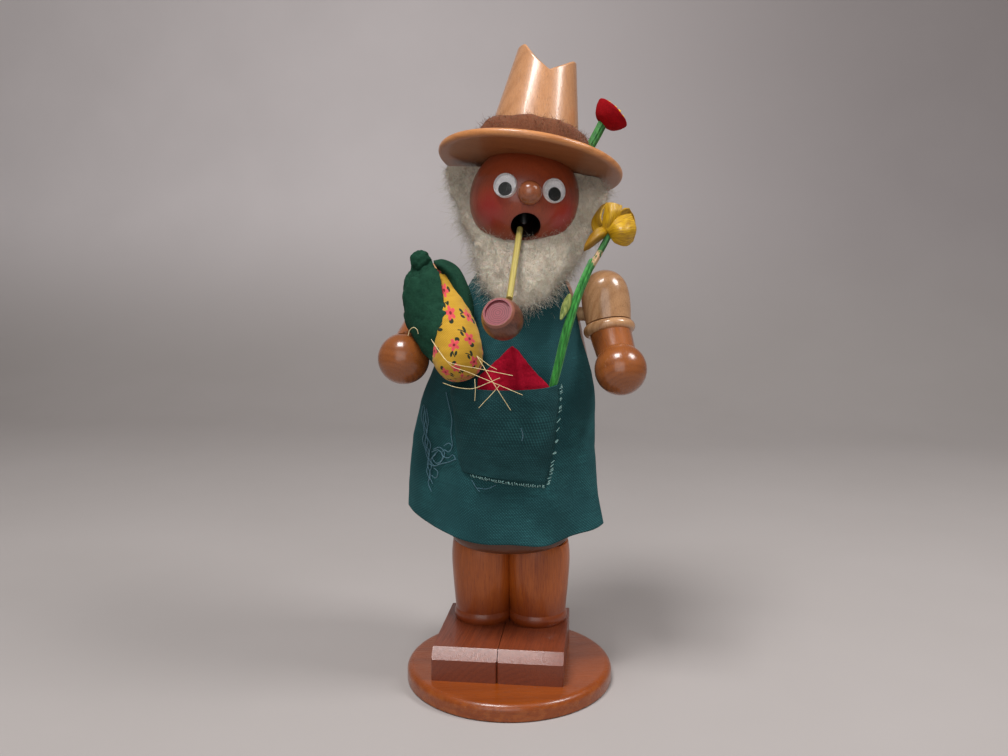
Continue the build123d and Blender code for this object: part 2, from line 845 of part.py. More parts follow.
with BuildPart() as elbow_dowels:
    for elbow, (upper_end, lower_end) in elbow_pins:
        rod(elbow, upper_end, dowel_radius)
        rod(elbow, lower_end, dowel_radius)
        with Locations(Location(elbow)):
            Sphere(dowel_radius)
elbow_dowels.part.label = "elbow_dowels"
export_step(elbow_dowels.part, "parts/elbow_dowels.step")


def cloth_base(height):
    """Radius that the cloth hangs from: below the widest place it falls straight."""
    widest = max(share[0] for share in torso_outline_shares)
    widest_height = next(up for out, up in torso_outline_shares if out == widest) * torso_height
    return torso_radius_at(max(height, widest_height))


def cloth_points(base, middle, right_end, left_end, fold, gape, inset):
    """Seven points round the trunk at one height, from the right end to the left."""
    points = []
    for step in range(-3, 4):
        share = abs(step) / 3
        stand_off, end_angle = right_end if step < 0 else left_end
        angle = radians(end_angle * step / 3)
        wave = fold * (1 if step % 2 else -1) * (1 if share < 1 else 0)
        radius = base + middle + (stand_off - middle) * share**3 + wave
        radius = radius + gape * (1 - share**4) - inset
        points.append((radius * sin(angle), -radius * cos(angle)))
    return points


def band_section(plane, outer, inner):
    """One closed slice of cloth: a curve outside, a curve inside and two ends."""
    with BuildSketch(plane) as slice_sketch:
        with BuildLine():
            Spline(*outer)
            Line(outer[-1], inner[-1])
            Spline(*reversed(inner))
            Line(inner[0], outer[0])
        make_face()
    return slice_sketch.sketch


# Apron: bib and skirt in one cloth, its hem lifting towards the corners
apron_hem = apron_rows[0][0] * torso_height
hem_half = cloth_base(apron_hem) + apron_rows[0][2][0]
with BuildPart() as apron:
    slices = []
    for height_share, middle, right_end, left_end in apron_rows:
        height = height_share * torso_height
        base = cloth_base(height)
        fold = fold_depth * max(0.0, 1 - height_share / fold_fade_share)
        outer = cloth_points(base, middle, right_end, left_end, fold, 0, 0)
        inner = cloth_points(base, middle, right_end, left_end, fold, 0, apron_thickness)
        slices.append(band_section(trunk.offset(height), outer, inner))
    loft(slices)
    with BuildSketch(upright(trunk)) as hem_cut:
        with BuildLine():
            corner = apron_hem + hem_rise
            ThreePointArc((-hem_half, corner), (0, apron_hem), (hem_half, corner))
            Polyline(
                (hem_half, corner),
                (hem_half + overrun, corner),
                (hem_half + overrun, -overrun),
                (-hem_half - overrun, -overrun),
                (-hem_half - overrun, corner),
                (-hem_half, corner),
            )
        make_face()
    extrude(hem_cut.sketch, amount=overrun, both=True, mode=Mode.SUBTRACT)
apron.part.label = "apron"
export_step(apron.part, "parts/apron.step")


def apron_middle(height_share):
    """How far the apron's outer face stands off the torso in the middle of the front."""
    for low, high in zip(apron_rows, apron_rows[1:]):
        if low[0] <= height_share <= high[0]:
            share = (height_share - low[0]) / (high[0] - low[0])
            return low[1] + (high[1] - low[1]) * share
    raise ValueError("the height is outside the apron")


# Pocket sewn on the front of the apron, gaping at its mouth
with BuildPart() as apron_pocket:
    slices = []
    for height_share, right_angle, left_angle, gape in pocket_rows:
        height = height_share * torso_height
        base = cloth_base(height)
        seam = apron_middle(height_share) + fold_depth + cloth_gap + pocket_thickness
        ends = ((seam, right_angle), (seam, left_angle))
        outer = cloth_points(base, seam, *ends, 0, gape, 0)
        inner = cloth_points(base, seam, *ends, 0, gape, pocket_thickness)
        slices.append(band_section(trunk.offset(height), outer, inner))
    loft(slices)
apron_pocket.part.label = "apron_pocket"
export_step(apron_pocket.part, "parts/apron_pocket.step")

# Felt kerchief standing in the pocket
pocket_top_share = pocket_rows[-1][0]
pocket_top = pocket_top_share * torso_height
kerchief_back = cloth_base(pocket_top) + apron_middle(pocket_top_share) + cloth_gap
kerchief_frame = Plane(
    trunk
    * Location((kerchief_shift, -kerchief_back, pocket_top), (90 - kerchief_back_lean, 0, 0))
)
with BuildPart() as kerchief:
    with BuildSketch(kerchief_frame) as kerchief_profile:
        with BuildLine():
            half = kerchief_width / 2
            Polyline(
                (-half, -kerchief_tuck),
                (half, -kerchief_tuck),
                (half, 0),
                (-half / 4, kerchief_height),
                (-half, 0),
                (-half, -kerchief_tuck),
            )
        make_face()
    extrude(kerchief_profile.sketch, amount=kerchief_thickness)
kerchief.part.label = "kerchief"
export_step(kerchief.part, "parts/kerchief.step")

# Pipe: a reed stem into a turned bowl
stem_start = by_head(stem_inner)
stem_end = by_head(stem_outer)
bowl_flat = cos(radians(bowl_rise))
bowl_way = Vector(
    -sin(radians(bowl_turn)) * bowl_flat, -cos(radians(bowl_turn)) * bowl_flat, sin(radians(bowl_rise))
)
bowl_frame = Plane(
    origin=by_head(bowl_centre), z_dir=trunk.from_local_coords(bowl_way) - trunk.origin
)
with BuildPart() as pipe_bowl:
    turn(bowl_frame, scaled(bowl_outline_shares, bowl_radius, bowl_length))
    face_height = bowl_length / 2
    turn(
        bowl_frame,
        [
            (bowl_radius * bowl_recess_share, face_height - bowl_recess_depth),
            (bowl_radius * bowl_recess_share, face_height + overrun),
        ],
        mode=Mode.SUBTRACT,
        smooth=False,
    )
    rod(stem_start, stem_end, stem_radius + glue_gap, mode=Mode.SUBTRACT)
pipe_bowl.part.label = "pipe_bowl"
export_step(pipe_bowl.part, "parts/pipe_bowl.step")

with BuildPart() as pipe_stem:
    rod(stem_start, stem_end, stem_radius)
pipe_stem.part.label = "pipe_stem"
export_step(pipe_stem.part, "parts/pipe_stem.step")

# Flower in the pocket: green sheath leaf, stem, curled head and a side leaf
sheath_curve = ThreePointArc(on_trunk(*sheath_low), on_trunk(*sheath_middle), on_trunk(*sheath_top))
flower_stem_low = (sheath_curve @ 1) - (sheath_curve % 1) * flower_stem_socket
flower_stem_high = on_trunk(*flower_stem_end)
with BuildPart() as flower_leaf:
    sheath_foot = Plane(origin=sheath_curve @ 0, x_dir=trunk.x_dir, z_dir=sheath_curve % 0)
    with BuildSketch(sheath_foot) as sheath_profile:
        Ellipse(sheath_width / 2, sheath_depth / 2)
    sweep(sheath_profile.sketch, path=sheath_curve)
    rod(flower_stem_low, flower_stem_high, flower_stem_radius + glue_gap / 2, mode=Mode.SUBTRACT)
flower_leaf.part.label = "flower_leaf"
export_step(flower_leaf.part, "parts/flower_leaf.step")

with BuildPart() as flower_stem:
    rod(flower_stem_low, flower_stem_high, flower_stem_radius)
flower_stem.part.label = "flower_stem"
export_step(flower_stem.part, "parts/flower_stem.step")

flower_frame = Plane(origin=flower_stem_high, z_dir=flower_stem_high - flower_stem_low)
with BuildPart() as flower_head:
    turn(
        flower_frame,
        [
            (flower_cone_radius, 0),
            ((flower_cone_radius + flower_radius) / 2, flower_depth / 3),
            (flower_radius, flower_depth),
        ],
    )
    turn(
        flower_frame.offset(flower_wall),
        [
            (flower_cone_radius - flower_wall, 0),
            ((flower_cone_radius + flower_radius) / 2 - flower_wall, flower_depth / 3),
            (flower_radius - flower_wall, flower_depth),
        ],
        mode=Mode.SUBTRACT,
    )
    with Locations(flower_frame.location):
        with PolarLocations(flower_radius, flower_petals):
            with Locations((0, 0, flower_depth)):
                Box(flower_radius, flower_slit, flower_depth, mode=Mode.SUBTRACT)
flower_head.part.label = "flower_head"
export_step(flower_head.part, "parts/flower_head.step")

leaf_point = (sheath_curve @ side_leaf_place_share) - trunk.x_dir * (sheath_width / 2 + cloth_gap)
leaf_frame = Plane(origin=leaf_point, x_dir=trunk.x_dir, z_dir=-trunk.y_dir)
with BuildPart() as side_leaf:
    with BuildSketch(leaf_frame) as side_leaf_profile:
        with BuildLine():
            blade_top = (0, side_leaf_length / 2)
            blade_low = (-side_leaf_width, -side_leaf_length / 2)
            RadiusArc(blade_top, blade_low, side_leaf_length)
            RadiusArc(blade_low, blade_top, side_leaf_length)
        make_face()
    extrude(side_leaf_profile.sketch, amount=side_leaf_thickness)
side_leaf.part.label = "side_leaf"
export_step(side_leaf.part, "parts/side_leaf.step")

# Stuffed corn cob: a cloth cone with a round lower end
corn_foot = on_trunk(*corn_low)
corn_head = on_trunk(*corn_high)
corn_frame = Plane(origin=corn_foot, z_dir=corn_head - corn_foot)
corn_length = (corn_head - corn_foot).length


def corn_rows(extra):
    """Profile of the cob, with an allowance all round."""
    low = corn_radius + extra
    top = corn_top_radius + extra
    return [
        (0, -low),
        (low * sin(radians(45)), -low * cos(radians(45))),
        (low, 0),
        ((low + top) / 2, corn_length / 2),
        (top, corn_length - top),
        (0, corn_length),
    ]


with BuildPart() as corn:
    turn(corn_frame, corn_rows(0))
corn.part.label = "corn"
export_step(corn.part, "parts/corn.step")

# Felt husk: a puffed outer leaf with its rolled stalk, and a flat inner leaf
pod_origin = corn_foot + trunk.from_local_coords(Vector(*husk_pod_shift)) - trunk.origin
pod_frame = Plane(origin=pod_origin, z_dir=corn_head - corn_foot)
pod_side = trunk.x_dir.cross(pod_frame.z_dir).normalized() - trunk.x_dir * tan(radians(husk_turn))
knob_centre = pod_frame.offset(corn_length).origin + pod_side.normalized() * husk_pod_end_radius


with BuildPart() as corn_husk_outer:
    turn(pod_frame, scaled(husk_pod_shares, husk_pod_radius, corn_length))
    split(bisect_by=Plane(origin=pod_origin, z_dir=pod_side), keep=Keep.TOP)
    turn(corn_frame, corn_rows(cloth_gap), mode=Mode.SUBTRACT)
    with Locations(Location(knob_centre)):
        Sphere(husk_knob_radius)
corn_husk_outer.part.label = "corn_husk_outer"
export_step(corn_husk_outer.part, "parts/corn_husk_outer.step")

inner_leaf_place = corn_head + trunk.y_dir * corn_top_radius
inner_leaf_frame = Plane(
    Plane(origin=inner_leaf_place, x_dir=trunk.x_dir, z_dir=-trunk.y_dir).location
    * Location((0, 0, 0), (-inner_leaf_lean, 0, 0))
)
with BuildPart() as corn_husk_inner:
    with BuildSketch(inner_leaf_frame) as inner_leaf_profile:
        with BuildLine():
            leaf_top = (0, 0)
            leaf_low = (inner_leaf_width, -inner_leaf_length)
            RadiusArc(leaf_top, leaf_low, inner_leaf_length)
            RadiusArc(leaf_low, leaf_top, inner_leaf_length)
        make_face()
    extrude(inner_leaf_profile.sketch, amount=-husk_thickness)
    turn(corn_frame, corn_rows(cloth_gap), mode=Mode.SUBTRACT)
corn_husk_inner.part.label = "corn_husk_inner"
export_step(corn_husk_inner.part, "parts/corn_husk_inner.step")

# Straw silk from the lower end of the cob
with BuildPart() as corn_silk:
    silk_root = corn_foot - trunk.y_dir * (corn_radius + 2 * silk_radius)
    for reach in silk_ends:
        tip = corn_foot + trunk.from_local_coords(Vector(*reach)) - trunk.origin
        tip = tip - trunk.y_dir * corn_radius
        rod(silk_root, tip, silk_radius)
corn_silk.part.label = "corn_silk"
export_step(corn_silk.part, "parts/corn_silk.step")

# Wool beard, open in front of the face
with BuildPart() as beard:
    slices = []
    for height, out, back, half_width, half_depth in beard_rows:
        slice_plane = Plane(trunk * Location((out, back, head_rise + height)))
        with BuildSketch(slice_plane) as beard_slice:
            Ellipse(half_width, half_depth)
        slices.append(beard_slice.sketch)
    loft(slices)
    with Locations(head.location):
        Sphere(head_radius + cloth_gap, mode=Mode.SUBTRACT)
    turn(trunk, [(out + stack_gap, up) for out, up in torso_rows], mode=Mode.SUBTRACT)
beard.part.label = "beard"
export_step(beard.part, "parts/beard.step")

# Wool hair round the back of the head
with BuildPart() as hair:
    with Locations(head.location):
        Sphere(hair_radius)
        Sphere(head_radius + cloth_gap, mode=Mode.SUBTRACT)
    split(bisect_by=hat_under.offset(-cloth_gap), keep=Keep.BOTTOM)
    split(bisect_by=trunk.offset(head_rise - hair_bottom), keep=Keep.TOP)
    hair_plane = Plane(origin=on_trunk(0, hair_start, 0), z_dir=trunk.y_dir)
    split(bisect_by=hair_plane, keep=Keep.TOP)
hair.part.label = "hair"
export_step(hair.part, "parts/hair.step")
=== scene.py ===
# %% [markdown]
# A turned incense smoker: a gardener on a round base, who lets the smoke of a
# cone out of his mouth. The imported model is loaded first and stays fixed. Its
# hard pieces keep their shape, apart from the hat's crown, and get a finish.
# Cloth, felt, wool and straw are worked out here, piece by piece, in the same
# frame.

import bmesh
import bpy
import numpy as np
from mathutils import Matrix, Vector


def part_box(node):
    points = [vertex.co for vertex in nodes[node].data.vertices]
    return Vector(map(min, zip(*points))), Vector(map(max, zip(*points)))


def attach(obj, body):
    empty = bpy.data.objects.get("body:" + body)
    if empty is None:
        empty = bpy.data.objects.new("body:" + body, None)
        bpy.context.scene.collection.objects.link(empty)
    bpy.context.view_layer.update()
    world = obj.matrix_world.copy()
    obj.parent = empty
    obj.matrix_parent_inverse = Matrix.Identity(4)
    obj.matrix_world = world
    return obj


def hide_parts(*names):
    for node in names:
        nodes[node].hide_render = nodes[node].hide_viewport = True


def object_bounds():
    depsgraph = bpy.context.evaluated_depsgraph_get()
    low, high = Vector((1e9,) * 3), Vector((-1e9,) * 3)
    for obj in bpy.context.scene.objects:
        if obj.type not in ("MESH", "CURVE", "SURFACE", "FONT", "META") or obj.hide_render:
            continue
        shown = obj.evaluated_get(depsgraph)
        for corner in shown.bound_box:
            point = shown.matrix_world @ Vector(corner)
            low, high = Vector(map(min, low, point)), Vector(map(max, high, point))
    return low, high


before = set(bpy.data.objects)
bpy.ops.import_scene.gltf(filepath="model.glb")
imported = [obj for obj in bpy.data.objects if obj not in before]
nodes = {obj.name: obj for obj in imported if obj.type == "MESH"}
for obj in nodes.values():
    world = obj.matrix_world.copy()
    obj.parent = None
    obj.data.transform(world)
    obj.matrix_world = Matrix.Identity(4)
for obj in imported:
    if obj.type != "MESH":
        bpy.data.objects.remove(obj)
cad_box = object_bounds()

# %% [markdown]
# Every shape is worked out in millimetres in a place of its own, such as the
# leaning trunk or the tilted hat, and goes into its mesh in metres. A place is
# a 4 x 4 matrix, so one product carries a whole array of points.

# %% Places that the pieces are worked out in
MM, MICRON = 0.001, 0.000001


def place(origin, tilt_x=0.0, tilt_y=0.0, turn_z=0.0, within=None):
    """Matrix of a frame: R = Rx(tilt_x) Ry(tilt_y) Rz(turn_z), then moved to origin, inside another."""
    x, y, z = np.radians([tilt_x, tilt_y, turn_z])
    about_x = np.array([[1, 0, 0], [0, np.cos(x), -np.sin(x)], [0, np.sin(x), np.cos(x)]])
    about_y = np.array([[np.cos(y), 0, np.sin(y)], [0, 1, 0], [-np.sin(y), 0, np.cos(y)]])
    about_z = np.array([[np.cos(z), -np.sin(z), 0], [np.sin(z), np.cos(z), 0], [0, 0, 1]])
    made = np.eye(4)
    made[:3, :3] = about_x @ about_y @ about_z
    made[:3, 3] = origin
    return made if within is None else within @ made


def place_along(origin, way, hint=(1.0, 0.0, 0.0)):
    """Frame at origin whose z runs along way and whose x is as near to hint as it can be."""
    z = np.array(way, float)
    z /= np.linalg.norm(z)
    x = np.array(hint, float) - np.dot(hint, z) * z
    x /= np.linalg.norm(x)
    made = np.eye(4)
    made[:3, :3] = np.stack([x, np.cross(z, x), z], axis=1)
    made[:3, 3] = origin
    return made


def carry(matrix, points):
    """Points given in a place, in the row frame: p' = R p + origin."""
    return np.asarray(points, float) @ matrix[:3, :3].T + matrix[:3, 3]


SEAT, HEAD_RISE, HEAD_RADIUS = 64.0, 144.53, 24.0
trunk = place((-1.0, 14.5, SEAT), tilt_y=2.4)
head = place((0, 0, HEAD_RISE), tilt_y=3.4, turn_z=9.6, within=trunk)
hat = place((1.2, 4.39, HEAD_RISE + 15.67), tilt_x=-12.0, tilt_y=4.9, within=trunk)
hat_top = hat @ place((0, 0, 1.8))
print("head at", head[:3, 3].round(1), "hat at", hat[:3, 3].round(1))

# %% [markdown]
# A surface is a grid of points. One function turns any grid into a mesh, with
# its faces, a UV map measured in millimetres and smooth shading. Coinciding
# points, such as poles and closed seams, are merged afterwards.

# %% Grids into meshes
WIDTH_SHARES = np.array([0, 1, 1, 0])
LENGTH_SHARES = np.array([0, 0, 1, 1])


def surface(name, points, closed=False, span=(1.0, 1.0), body="upper_body", solid=False, sharp=None,
            keep=None):
    """Mesh piece from points of shape (rows, columns, 3) in mm, or from many such grids at once.

    Face (i, j) joins corners (i, j), (i, j+1), (i+1, j+1) and (i+1, j); closed
    joins the last column to the first. Its UV is (j / columns, i / rows) x span.
    keep marks the grid points whose faces are made.
    """
    points = np.asarray(points, float)
    rows, columns = points.shape[-3:-1]
    points = points.reshape(-1, rows * columns, 3)
    steps = columns if closed else columns - 1
    i, j = np.meshgrid(np.arange(rows - 1), np.arange(steps), indexing="ij")
    i, j = i[..., None] + LENGTH_SHARES, j[..., None] + WIDTH_SHARES
    faces = (i * columns + j % columns).reshape(-1, 4)
    uv = np.stack([j / steps * span[0], i / (rows - 1) * span[1]], axis=-1).reshape(-1, 4, 2)
    faces = (faces + np.arange(len(points))[:, None, None] * rows * columns).reshape(-1, 4)
    uv = np.tile(uv, (len(points), 1, 1))
    if keep is not None:
        wanted = np.asarray(keep).reshape(-1)[faces].any(axis=1)
        faces, uv = faces[wanted], uv[wanted]
    mesh = bpy.data.meshes.new(name)
    mesh.from_pydata((points.reshape(-1, 3) * MM).tolist(), [], faces.tolist())
    mesh.uv_layers.new(name="measure").data.foreach_set("uv", uv.astype(np.float32).ravel())
    return settle(name, mesh, body, solid, sharp)


def settle(name, mesh, body, solid=False, sharp=None):
    """Merges coinciding points, turns closed shapes outwards, shades smooth and rides on a body."""
    work = bmesh.new()
    work.from_mesh(mesh)
    bmesh.ops.remove_doubles(work, verts=work.verts, dist=2 * MICRON)
    bmesh.ops.dissolve_degenerate(work, edges=work.edges, dist=MICRON)
    bmesh.ops.delete(work, geom=[corner for corner in work.verts if not corner.link_faces], context="VERTS")
    if solid:
        bmesh.ops.recalc_face_normals(work, faces=work.faces)
    work.to_mesh(mesh)
    work.free()
    mesh.shade_smooth()
    if sharp is not None:
        mesh.set_sharp_from_angle(angle=np.radians(sharp))
    piece = bpy.data.objects.new(name, mesh)
    bpy.context.scene.collection.objects.link(piece)
    if body is not None:
        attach(piece, body)
    print("made", name, len(mesh.polygons), "faces")
    return piece


def closed_ends(points):
    """Adds a row at each end, drawn in to that end's middle, so a tube becomes a closed solid."""
    low = np.repeat(points[:1].mean(axis=1, keepdims=True), points.shape[1], axis=1)
    high = np.repeat(points[-1:].mean(axis=1, keepdims=True), points.shape[1], axis=1)
    return np.concatenate([low, points, high])


# %% [markdown]
# Three small tools shape everything: a smooth curve through a few points, a
# soft random field, and a profile carried along a path.

# %% Curves, random fields and profiles carried along a path
def smooth_through(points, count):
    """Catmull-Rom curve through points, at count even steps.

    Between p1 and p2: p(t) = (2 p1 + (p2 - p0) t + (2 p0 - 5 p1 + 4 p2 - p3) t^2
    + (3 p1 - p0 - 3 p2 + p3) t^3) / 2.
    """
    p = np.asarray(points, float)
    p = np.concatenate([2 * p[:1] - p[1:2], p, 2 * p[-1:] - p[-2:-1]])
    t = np.linspace(0, len(p) - 3 - 1e-9, count)
    k = t.astype(int)
    t = (t - k).reshape((-1,) + (1,) * (p.ndim - 1))
    a, b, c, d = p[k], p[k + 1], p[k + 2], p[k + 3]
    return (2 * b + (c - a) * t + (2 * a - 5 * b + 4 * c - d) * t**2 + (3 * b - a - 3 * c + d) * t**3) / 2


def soft_field(points, size, seed, octaves=3):
    """Smooth random height at each point: sines along random ways, finer and fainter by the octave."""
    rng = np.random.default_rng(seed)
    p = np.asarray(points, float)
    total = np.zeros(p.shape[:-1])
    for octave in range(octaves):
        for wave in range(5):
            way = rng.normal(size=3)
            way *= 2 * np.pi * 2**octave / (size * np.linalg.norm(way))
            total += np.sin(p @ way + rng.uniform(0, 6.283)) / (2**octave * 2.6)
    return total


def ring(count):
    """Angles of count even steps round a full turn."""
    return np.linspace(0, 2 * np.pi, count, endpoint=False)


def tube(path, radius, count=12, hint=(0.2, 0.1, 1.0), flat=1.0):
    """Round profile carried along a path: p(s, a) = path(s) + r(s) (cos a * side + flat * sin a * up)."""
    path = np.asarray(path, float)
    way = np.gradient(path, axis=0)
    way /= np.linalg.norm(way, axis=1, keepdims=True)
    side = np.cross(np.broadcast_to(hint, way.shape), way)
    side /= np.linalg.norm(side, axis=1, keepdims=True)
    up = np.cross(way, side)
    a = ring(count)[None, :, None]
    r = np.broadcast_to(np.asarray(radius, float), (len(path),))[:, None, None]
    return path[:, None] + r * (np.cos(a) * side[:, None] + flat * np.sin(a) * up[:, None])


def turned(matrix, rows, count=96):
    """Profile of (radius, height) rows turned about z: p = (r cos a, r sin a, h)."""
    rows = np.asarray(rows, float)
    a = ring(count)
    r, h = rows[:, :1], rows[:, 1:]
    return carry(matrix, np.stack([r * np.cos(a), r * np.sin(a), h + 0 * a], axis=-1))


# %% [markdown]
# Materials are node trees. A few short helpers keep them readable: colours are
# given as they look on a screen, and an input takes either a value or the
# socket that feeds it.

# %% Material helpers
def paint(red, green, blue):
    """Screen colour 0..255 as linear light: c' = ((c / 255 + 0.055) / 1.055) ^ 2.4."""
    c = np.array([red, green, blue]) / 255
    c = np.where(c <= 0.04045, c / 12.92, ((c + 0.055) / 1.055) ** 2.4)
    return (*c.tolist(), 1.0)


def fill_inputs(tree, made, inputs):
    """Sets each input of a node to a value, or links it from the socket given."""
    for key, value in dict(inputs).items():
        if isinstance(value, bpy.types.NodeSocket):
            tree.links.new(value, made.inputs[key])
        else:
            made.inputs[key].default_value = value


def put(tree, kind, inputs=(), **settings):
    """Adds a shader node with its settings and inputs."""
    made = tree.nodes.new("ShaderNode" + kind)
    for key, value in settings.items():
        setattr(made, key, value)
    fill_inputs(tree, made, inputs)
    return made


def spot_of(tree):
    """Object coordinates: the place in the row frame, in metres."""
    return put(tree, "TexCoord").outputs["Object"]


def measure_of(tree):
    """The piece's own UV map, which is in millimetres along its surface."""
    return put(tree, "UVMap", uv_map="measure").outputs[0]


def parts_of(tree, vector):
    """X, Y and Z of a vector, as sockets by name."""
    return put(tree, "SeparateXYZ", {0: vector}).outputs


def maths(tree, operation, first, second=0.0, third=0.0, clamp=False):
    """One Math node's result; MULTIPLY_ADD gives first * second + third."""
    given = {0: first, 1: second, 2: third}
    return put(tree, "Math", given, operation=operation, use_clamp=clamp).outputs[0]


def blend(tree, share, first, second):
    """Two colours mixed by a share: c = (1 - share) first + share second."""
    return put(tree, "Mix", {0: share, 6: first, 7: second}, data_type="RGBA").outputs[2]


def ramp(tree, value, low, high):
    """A value stretched from low..high to 0..1 and kept inside, with soft ends."""
    given = {"Value": value, "From Min": low, "From Max": high}
    return put(tree, "MapRange", given, interpolation_type="SMOOTHSTEP").outputs[0]


def stretched(tree, vector, scale):
    """Coordinates scaled by a Mapping node; a small number draws a pattern out along that axis."""
    return put(tree, "Mapping", {"Vector": vector, "Scale": scale}).outputs[0]


def noise(tree, vector, scale, detail=3.0, roughness=0.5):
    """Noise texture value, about 0.5 on average."""
    given = {"Vector": vector, "Scale": scale, "Detail": detail, "Roughness": roughness}
    return put(tree, "TexNoise", given).outputs[0]


def along_of(tree, spot, way):
    """How far a spot lies along a direction: the dot product of both."""
    given = {0: spot, 1: tuple(way.tolist())}
    return put(tree, "VectorMath", given, operation="DOT_PRODUCT").outputs["Value"]


def away_of(tree, spot, centre):
    """How far a spot lies from a centre, both in metres."""
    given = {0: spot, 1: tuple(centre.tolist())}
    return put(tree, "VectorMath", given, operation="DISTANCE").outputs["Value"]


def new_group(name, inputs, outputs):
    """Empty shader group with named sockets; gives its tree, its input node and its output node."""
    tree = bpy.data.node_groups.new(name, "ShaderNodeTree")
    for label, kind, value in inputs:
        socket = tree.interface.new_socket(label, in_out="INPUT", socket_type="NodeSocket" + kind)
        if value is not None:
            socket.default_value = value
    for label, kind in outputs:
        tree.interface.new_socket(label, in_out="OUTPUT", socket_type="NodeSocket" + kind)
    return tree, tree.nodes.new("NodeGroupInput").outputs, tree.nodes.new("NodeGroupOutput").inputs


def use_group(tree, group, inputs=()):
    """A group placed in a material, with its own values."""
    made = tree.nodes.new("ShaderNodeGroup")
    made.node_tree = group
    fill_inputs(tree, made, inputs)
    return made.outputs


def new_material(name, **constants):
    """Material with one Principled shader; constants are set on the shader's own sockets."""
    made = bpy.data.materials.new(name)
    made.use_nodes = True
    tree = made.node_tree
    shader = tree.nodes["Principled BSDF"]
    for key, value in constants.items():
        shader.inputs[key.replace("_", " ")].default_value = value
    return made, tree, shader


def feed(tree, shader, height=None, depth=0.0001, **sockets):
    """Links colours and values into the shader, and a height through a Bump node."""
    for key, socket in sockets.items():
        tree.links.new(socket, shader.inputs[key.replace("_", " ")])
    if height is not None:
        bump = put(tree, "Bump", {"Height": height, "Distance": depth, "Strength": 1.0})
        tree.links.new(bump.outputs[0], shader.inputs["Normal"])


# %% [markdown]
# All the turned pieces are light close-grained wood under clear or stained
# varnish. Year rings lie round the tree's heart, so they show as long lines on
# a piece cut beside the heart and as discs where a piece ends on it. The group
# has its heart on z: each finish turns and moves it to where its own tree was,
# and gets fibres and short dark pores along the same way.

# %% Wood grain group
grain, given, result = new_group(
    "wood grain",
    [("Vector", "Vector", None), ("Pale", "Color", paint(200, 150, 110)),
     ("Dark", "Color", paint(150, 100, 60)), ("Ring Spacing", "Float", 300.0), ("Ring Share", "Float", 0.5),
     ("Fibre Share", "Float", 0.5)],
    [("Color", "Color"), ("Gloss Break", "Float"), ("Height", "Float")],
)
flat_rings = stretched(grain, given["Vector"], (1.0, 1.0, 0.09))
bend = noise(grain, flat_rings, 35.0, 2.0)
spaced = {0: flat_rings, "Scale": given["Ring Spacing"]}
band_place = put(grain, "VectorMath", spaced, operation="SCALE").outputs[0]
wavy = {"Vector": band_place, "Scale": 0.32, "Distortion": 2.2, "Detail": 2.0, "Detail Scale": 0.7}
bands = put(grain, "TexWave", wavy, wave_type="RINGS", rings_direction="Z").outputs[1]
bands = maths(grain, "MULTIPLY", maths(grain, "POWER", bands, 2.0), ramp(grain, bend, 0.25, 0.7))
fibres = noise(grain, stretched(grain, given["Vector"], (1.0, 1.0, 0.035)), 1900.0, 4.0, 0.65)
long_pores = stretched(grain, given["Vector"], (1.0, 1.0, 0.07))
pores = ramp(grain, noise(grain, long_pores, 3400.0, 1.0), 0.63, 0.74)
cloud = noise(grain, given["Vector"], 55.0, 2.0)
share = maths(grain, "MULTIPLY", bands, given["Ring Share"])
share = maths(grain, "MULTIPLY_ADD", ramp(grain, fibres, 0.3, 0.75), given["Fibre Share"], share)
share = maths(grain, "ADD", share, maths(grain, "MULTIPLY_ADD", cloud, 0.5, -0.25), clamp=True)
tone = blend(grain, share, given["Pale"], given["Dark"])
tone = blend(grain, maths(grain, "MULTIPLY", pores, 0.35), tone, paint(70, 36, 20))
grain.links.new(tone, result["Color"])
grain.links.new(maths(grain, "MULTIPLY_ADD", fibres, 0.22, -0.11), result["Gloss Break"])
grain.links.new(maths(grain, "SUBTRACT", fibres, pores), result["Height"])
print("group:", grain.name, len(grain.nodes), "nodes")


# %% Wood finishes from the group
def wood(name, pale, dark, along=(0, 0, 1), heart=(0, 70, 0), rings=300.0, ring_share=0.5, fibre_share=0.45,
         rough=0.3, coat=0.35, depth=0.00004, worn=None):
    """Varnished wood whose grain runs along a direction and whose heart passes a point, in mm.

    Place in the tree = turn (spot - heart), where turn brings along onto z. worn stains or wears parts.
    """
    made, tree, shader = new_material(name, Coat_Weight=coat, Coat_Roughness=0.12, Specular_IOR_Level=0.45)
    spot = spot_of(tree)
    turn = Vector(along).rotation_difference(Vector((0, 0, 1))).to_euler()
    shift = -(turn.to_matrix() @ Vector(heart)) * MM
    into_tree = {"Vector": spot, "Rotation": tuple(turn), "Location": tuple(shift)}
    values = {"Vector": put(tree, "Mapping", into_tree).outputs[0], "Pale": pale, "Dark": dark,
              "Ring Spacing": rings, "Ring Share": ring_share, "Fibre Share": fibre_share}
    wooden = use_group(tree, grain, values)
    colour = wooden["Color"]
    if worn is not None:
        colour = worn(tree, spot, colour)
    gloss = maths(tree, "ADD", wooden["Gloss Break"], rough, clamp=True)
    feed(tree, shader, wooden["Height"], depth, Base_Color=colour, Roughness=gloss)
    return made


def dress(material, *names):
    """Gives CAD nodes a material."""
    for name in names:
        mesh = nodes[name].data
        mesh.materials.clear()
        mesh.materials.append(material)
    print("dressed", *names, "in", material.name)


# %% [markdown]
# The standing part: an orange-stained base whose rim is rubbed paler, mahogany
# foot blocks, and legs whose stain deepens towards the ankles, as a dipped
# stain does. A stain is a share that falls off with height or with distance,
# broken by noise, so it follows the object and not the mesh.

